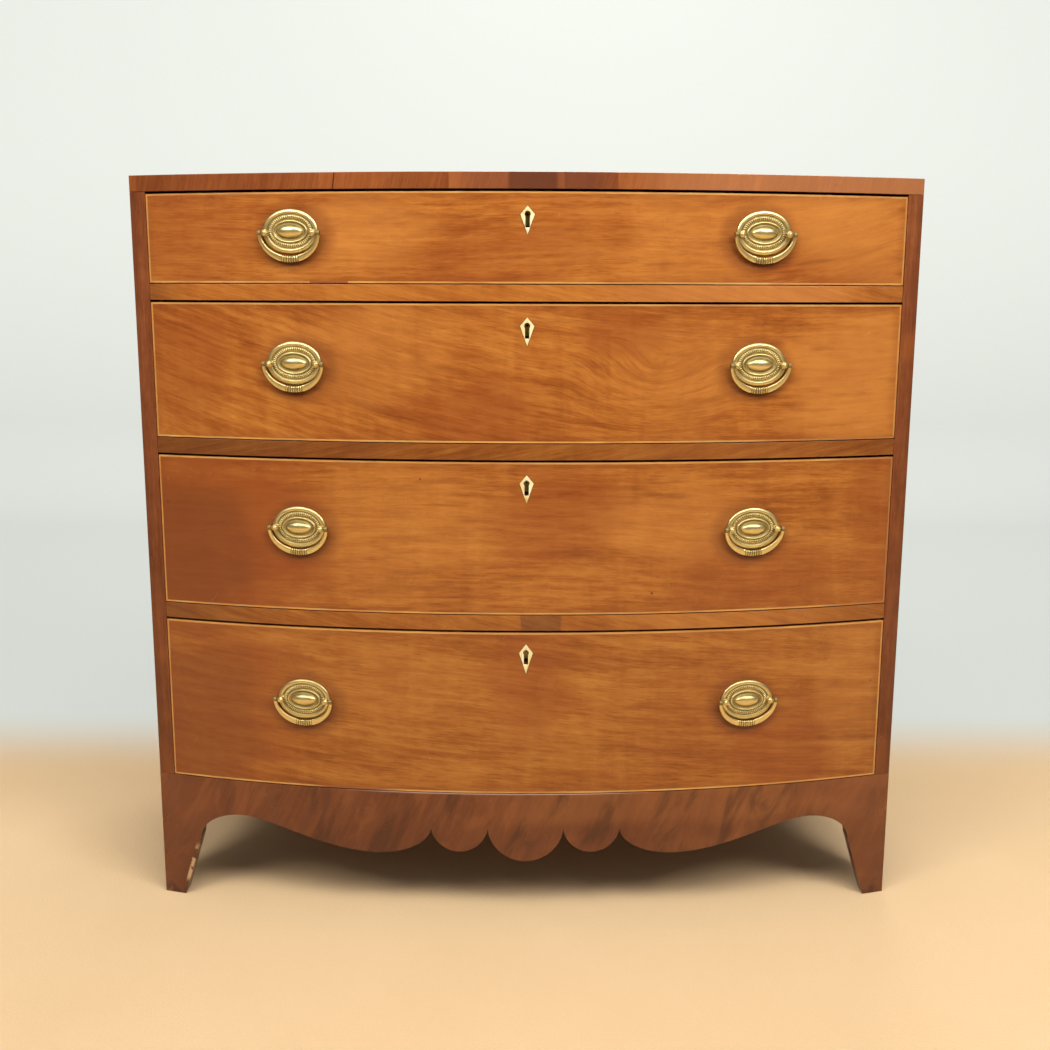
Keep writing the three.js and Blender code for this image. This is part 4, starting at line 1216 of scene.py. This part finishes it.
# %% shape one bail
BAIL_HALF = 41.4
BAIL_DROP = 37.4
BAND_ENDS, BAND_MIDDLE = 4.4, 8.6
BAND_THICK = 3.9
GRIP_HALF = 11.0
RIBS = 7
BAIL_STEPS = 180
SECTION = 24
COLLAR = 2.2
WEAR = 0.3
BAIL_KNUCKLE = [(0.0, 37.1), (3.1, 37.1), (3.5, 37.5), (3.6, 38.2), (3.6, 40.4), (3.4, 41.0), (2.9, 41.35),
                (0.0, 41.4)]
BAIL_PIN = [(0.0, 27.0), (1.5, 27.0), (1.5, 38.0), (0.0, 38.0)]


def bail_station(share):
    """The middle, outward direction, half width, half thickness, squareness and wear of one place."""
    angle = math.pi + math.pi * share
    cosine, sine = math.cos(angle), math.sin(angle)
    outer = Vector((BAIL_HALF * cosine, 0, BAIL_DROP * sine))
    inner = Vector(((BAIL_HALF - BAND_ENDS) * cosine, 0, (BAIL_DROP - BAND_MIDDLE) * sine))
    middle, spread = (outer + inner) / 2, (outer - inner) / 2
    wide, thick, crown, wear = spread.length, BAND_THICK / 2, 0.45, WEAR
    along = abs(middle.x)
    if along < GRIP_HALF:
        rib = 0.5 + 0.5 * math.cos(2 * math.pi * along / (2 * GRIP_HALF / RIBS))
        wide, thick = wide - 0.6 + 0.55 * rib, 1.6 + 1.45 * rib
        crown, wear = 0.7, WEAR * rib
    elif along < GRIP_HALF + COLLAR:
        collar = math.sin((along - GRIP_HALF) / COLLAR * math.pi)
        wide, thick = wide - 0.1 * collar, thick + 0.5 * collar
    return middle, spread.normalized(), wide, thick, crown, wear


def turn_of(vertex):
    return math.atan2(vertex.co.y, vertex.co.x)


def bail_mesh():
    """One hanging bail in a handle's own space, with its knuckles and pins."""
    bm = bmesh.new()
    layer = bm.verts.layers.float.new("height")
    loop = sorted(bmesh.ops.create_circle(bm, segments=SECTION, radius=1)["verts"], key=turn_of)
    turns = [turn_of(vertex) for vertex in loop]
    edges = list({e for v in loop for e in v.link_edges})
    rings = [loop]
    for _ in range(BAIL_STEPS):
        grown = bmesh.ops.extrude_edge_only(bm, edges=edges)["geom"]
        points = {g for g in grown if isinstance(g, bmesh.types.BMVert)}
        edges = [g for g in grown if isinstance(g, bmesh.types.BMEdge) and set(g.verts) <= points]
        rings.append(sorted(points, key=turn_of))
    bmesh.ops.holes_fill(bm, edges=[e for e in bm.edges if e.is_boundary], sides=SECTION)
    for step, loop in enumerate(rings):
        middle, outward, wide, thick, crown, wear = bail_station(step / BAIL_STEPS)
        for turn, vertex in zip(turns, loop):
            cosine, sine = math.cos(turn), math.sin(turn)
            sideways = math.copysign(abs(cosine) ** 0.75, cosine) * wide
            forward = math.copysign(abs(sine) ** crown, sine) * thick
            vertex.co = (middle + outward * sideways) * MM + Vector((0, -forward * MM, 0))
            vertex[layer] = wear + 0.5 * (wear / WEAR) * max(0, forward) / thick
    bmesh.ops.rotate(bm, verts=bm.verts[:], cent=(0, 0, 0), matrix=Matrix.Rotation(BAIL_LEAN, 3, "X"))
    bmesh.ops.translate(bm, verts=bm.verts[:], vec=(0, -PIVOT, 0))
    for end in HANDS.values():
        place = Matrix.Translation((0, -PIVOT, 0)) @ Matrix.Rotation(end * math.pi / 2, 4, "Z")
        add_turned(bm, BAIL_KNUCKLE, 24, place)
        add_turned(bm, BAIL_PIN, 24, place)
    return bm


print("bail of", BAIL_STEPS, "steps")

# %% put the handles on


def hang(bm, place, name, body, replaces=None, sharp=50):
    bmesh.ops.transform(bm, matrix=place, verts=bm.verts[:])
    piece(bm, name, body, [brass], replaces, sharp)


for n in DRAWERS:
    for side, hand in HANDS.items():
        place = handle_place(n, hand)
        hang(plate_mesh(plate_levels[n] - pin_levels[n]), place, f"drawer_{n}_stamped_plate_{side}",
             f"drawer_{n}", f"drawer_{n}_plate_{side}", sharp=60)
        hang(posts_mesh(), place, f"drawer_{n}_posts_{side}", f"drawer_{n}")
        hang(bail_mesh(), place, f"drawer_{n}_swing_bail_{side}", f"bail_{n}_{side}",
             f"drawer_{n}_bail_{side}")
print("handles", 2 * len(DRAWERS))

# %% [markdown]
# ## Plain woods
# Drawer linings are oak, and the dust boards, bottom and back are pine. Nobody polished them, so they
# are dry and dull, with wide growth bands and a little dust. Pine has broad bands and knots, oak has long
# open pores and pale flecks across the grain.

# %% finishes of the plain woods


def plain_wood(name, lay, seed, tones, pore_share, band=60):
    made = Finish(name, roughness=0.72)
    along, across, depth = lay(made)
    raw = made.vector(along, across, depth)
    start = (seed * 2.1, seed * 0.7, seed * 1.3)
    bend = made.noise(raw, (1.2, 4, 4), start, detail=2.0)
    board = made.vector(along, across + (bend - 0.5) * 0.06, depth)
    bands = made.noise(board, (0.9, band, band * 0.5), start, detail=3.0, roughness=0.5)
    cloud = made.noise(board, (3, 9, 9), start, detail=3.0)
    fibre = made.noise(board, (14, 800, 800), start, detail=2.0)
    pores = made.noise(board, (45, 1100, 1100), start, detail=1.0).above(0.58, 0.7)
    tone = (bands - 0.5) * 1.3 + (cloud - 0.5) * 0.5 + (fibre - 0.5) * 0.35 + 0.5
    made.colour = made.ramp(tone, list(zip((0.2, 0.5, 0.8), tones)))
    made.stain(pores * pore_share, [c * 0.35 for c in tones[0]])
    damp = made.noise(made.place, (5, 5, 5), start, detail=4.0).above(0.52, 0.7)
    made.stain(damp * 0.3, [c * 0.5 for c in tones[0]])
    made.set("Base Color", made.colour)
    made.set("Roughness", fibre * 0.2 + 0.62)
    made.bump(tone * 0.5 - pores * 0.5, 0.0006, 0.4)
    return made


OAK_TONES = [(0.27, 0.140, 0.055), (0.40, 0.230, 0.10), (0.51, 0.32, 0.155)]
PINE_TONES = [(0.30, 0.135, 0.045), (0.46, 0.24, 0.09), (0.58, 0.34, 0.15)]
oak_side = plain_wood("oak_side", lambda m: (m.y, m.z, m.x), 3.0, OAK_TONES, 0.45)
oak_back = plain_wood("oak_back", lambda m: (m.x, m.z, m.y), 5.0, OAK_TONES, 0.45)
oak_bottom = plain_wood("oak_bottom", lambda m: (m.x, m.y, m.z), 8.0, OAK_TONES, 0.45, 40)
pine_board = plain_wood("pine_board", lambda m: (m.x, m.y, m.z), 12.0, PINE_TONES, 0.15, 34)
pine_back = plain_wood("pine_back", lambda m: (m.z, m.x, m.y), 15.0, scaled(PINE_TONES, 0.85), 0.15, 30)


def recoat(node, finish):
    """Gives a solid that keeps its shape a better material."""
    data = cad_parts[node].data
    data.materials.clear()
    data.materials.append(finish.material)


for n in DRAWERS:
    recoat(f"drawer_{n}_side_left", oak_side)
    recoat(f"drawer_{n}_side_right", oak_side)
    recoat(f"drawer_{n}_back", oak_back)
    recoat(f"drawer_{n}_bottom", oak_bottom)
for node in ("dust_board_1", "dust_board_2", "dust_board_3", "bottom_board"):
    recoat(node, pine_board)
print("plain woods on", 4 * len(DRAWERS) + 4, "solids")

# %% [markdown]
# ## Locks
# A brass lock is let into the back of each front, held by four iron screws, and its bolt slides up
# into the rail. The solids have the right shape, so they only need metal that looks old. The screws are small
# turned heads with a slot pressed in.

# %% finish the locks
lock_brass = Finish("lock_brass", roughness=0.42, metallic=1.0)
lock_cloud = lock_brass.noise(lock_brass.place, (60, 60, 60), detail=5.0)
lock_colour = lock_brass.ramp(lock_cloud, [(0.3, (0.16, 0.11, 0.045)), (0.5, (0.42, 0.31, 0.13)),
                                           (0.75, (0.62, 0.48, 0.22))])
lock_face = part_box("drawer_1_lock")[0].y
# The lock's front face, which shows through the keyhole, is darkened nearly to black: painted shade in the
# keyhole.
grime_and_shade = (lock_brass.y - lock_face).below(0.0015, 0.003)
lock_brass.set("Base Color", lock_brass.mix(grime_and_shade * 0.93, lock_colour, (0.02, 0.014, 0.009)))
lock_brass.set("Roughness", lock_cloud * 0.4 + 0.22)
lock_brass.bump(lock_cloud, 0.0004, 0.3)

iron = Finish("iron", roughness=0.5, metallic=1.0)
iron_cloud = iron.noise(iron.place, (120, 120, 120), detail=5.0)
iron.set("Base Color", iron.ramp(iron_cloud, [(0.3, (0.05, 0.035, 0.028)), (0.55, (0.14, 0.12, 0.11)),
                                              (0.75, (0.26, 0.24, 0.23))]))
iron.set("Roughness", iron_cloud * 0.4 + 0.3)
iron.bump(iron_cloud, 0.0004, 0.35)

SCREW = [(0.0, -6.0), (1.2, -5.0), (1.3, -1.0), (2.7, 0.0), (2.7, 0.25), (2.2, 0.5), (0.0, 0.55)]
SCREW_X, SCREW_BELOW, SCREW_ABOVE = 19 * MM, 7 * MM, 12 * MM
HEAD_FACE, SLOT_HALF, SLOT_DEPTH = 0.4 * MM, 0.3 * MM, 0.3 * MM
TO_BACK = Matrix.Rotation(math.pi, 4, "Z")


def press_slot(head):
    """Presses a slot into the face of a screw's head."""
    for vertex in head.verts:
        if -vertex.co.y > HEAD_FACE and abs(vertex.co.x) < SLOT_HALF:
            vertex.co.y += SLOT_DEPTH


for n in DRAWERS:
    recoat(f"drawer_{n}_lock", lock_brass)
    recoat(f"drawer_{n}_bolt", iron)
    lock_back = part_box(f"drawer_{n}_lock")[1].y
    level = fronts[n][1].z - KEY_DROP
    bm = bmesh.new()
    for x in (-SCREW_X, SCREW_X):
        for z in (level - SCREW_BELOW, level + SCREW_ABOVE):
            add_turned(bm, SCREW, 20, Matrix.Translation((x, lock_back, z)) @ TO_BACK, press_slot)
    piece(bm, f"drawer_{n}_lock_screws", f"drawer_{n}", [iron], sharp=40)
print("locks at", round(level, 3))

# %% [markdown]
# ## Back boards
# The back is made of upright pine boards, nailed into the rebates. One plain panel would look like
# plywood, so it is replaced by boards of uneven widths with softened edges, rows of nail heads and
# thin gaps. A tongue in each gap keeps the light out, as in boards that are jointed.

# %% make the back
BACK_WIDTHS = (0.19, 0.155, 0.17, 0.18, 0.15, 0.17)
BOARD_GAP = 0.8 * MM
TONGUE = 6 * MM
NAIL_HEAD = 0.65 * MM
NAIL = [(0.0, -8.0), (0.9, -8.0), (1.0, -0.1), (2.6, 0.0), (2.4, 0.35), (1.2, 0.6), (0.0, 0.65)]
NAIL_EDGE = 12 * MM
NAIL_LEVELS = (0.652, 0.422)
NAIL_SHARES = (0.2, 0.8)


def add_block(bm, block_low, block_high):
    """Adds a block between two corners, and returns its points."""
    made = bmesh.ops.create_cube(bm, size=1)["verts"]
    bmesh.ops.scale(bm, verts=made, vec=Vector(block_high) - Vector(block_low))
    bmesh.ops.translate(bm, verts=made, vec=(Vector(block_low) + Vector(block_high)) / 2)
    return made


back_low, back_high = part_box("back_panel")
board_back = back_high.y - NAIL_HEAD
scale = (back_high.x - back_low.x) / sum(BACK_WIDTHS)
bm = bmesh.new()
edge = back_low.x
nails = []
for width in BACK_WIDTHS:
    wide = width * scale
    made = add_block(bm, (edge + BOARD_GAP / 2, back_low.y, back_low.z),
                     (edge + wide - BOARD_GAP / 2, board_back, back_high.z))
    upright = {e for v in made for e in v.link_edges if abs(e.verts[0].co.z - e.verts[1].co.z) > 0.1}
    bevel(bm, list(upright), 0.9 * MM)
    for share in NAIL_SHARES:
        for z in (back_high.z - NAIL_EDGE, *NAIL_LEVELS, back_low.z + NAIL_EDGE):
            nails.append((edge + wide * share, z))
    edge += wide
    if edge < back_high.x - wide / 2:
        add_block(bm, (edge - TONGUE / 2, back_low.y + TONGUE * 0.75, back_low.z),
                  (edge + TONGUE / 2, back_low.y + TONGUE * 1.25, back_high.z))
piece(bm, "back_boards", "carcass", [pine_back], "back_panel")

random.seed(5)
bm = bmesh.new()
for x, z in nails:
    add_turned(bm, NAIL, 8, Matrix.Translation((x + random.uniform(-4, 4) * MM, board_back,
                                                z + random.uniform(-3, 3) * MM)) @ TO_BACK)
piece(bm, "back_nails", "carcass", [iron], sharp=40)
print("back boards", len(BACK_WIDTHS), "nails", len(nails))
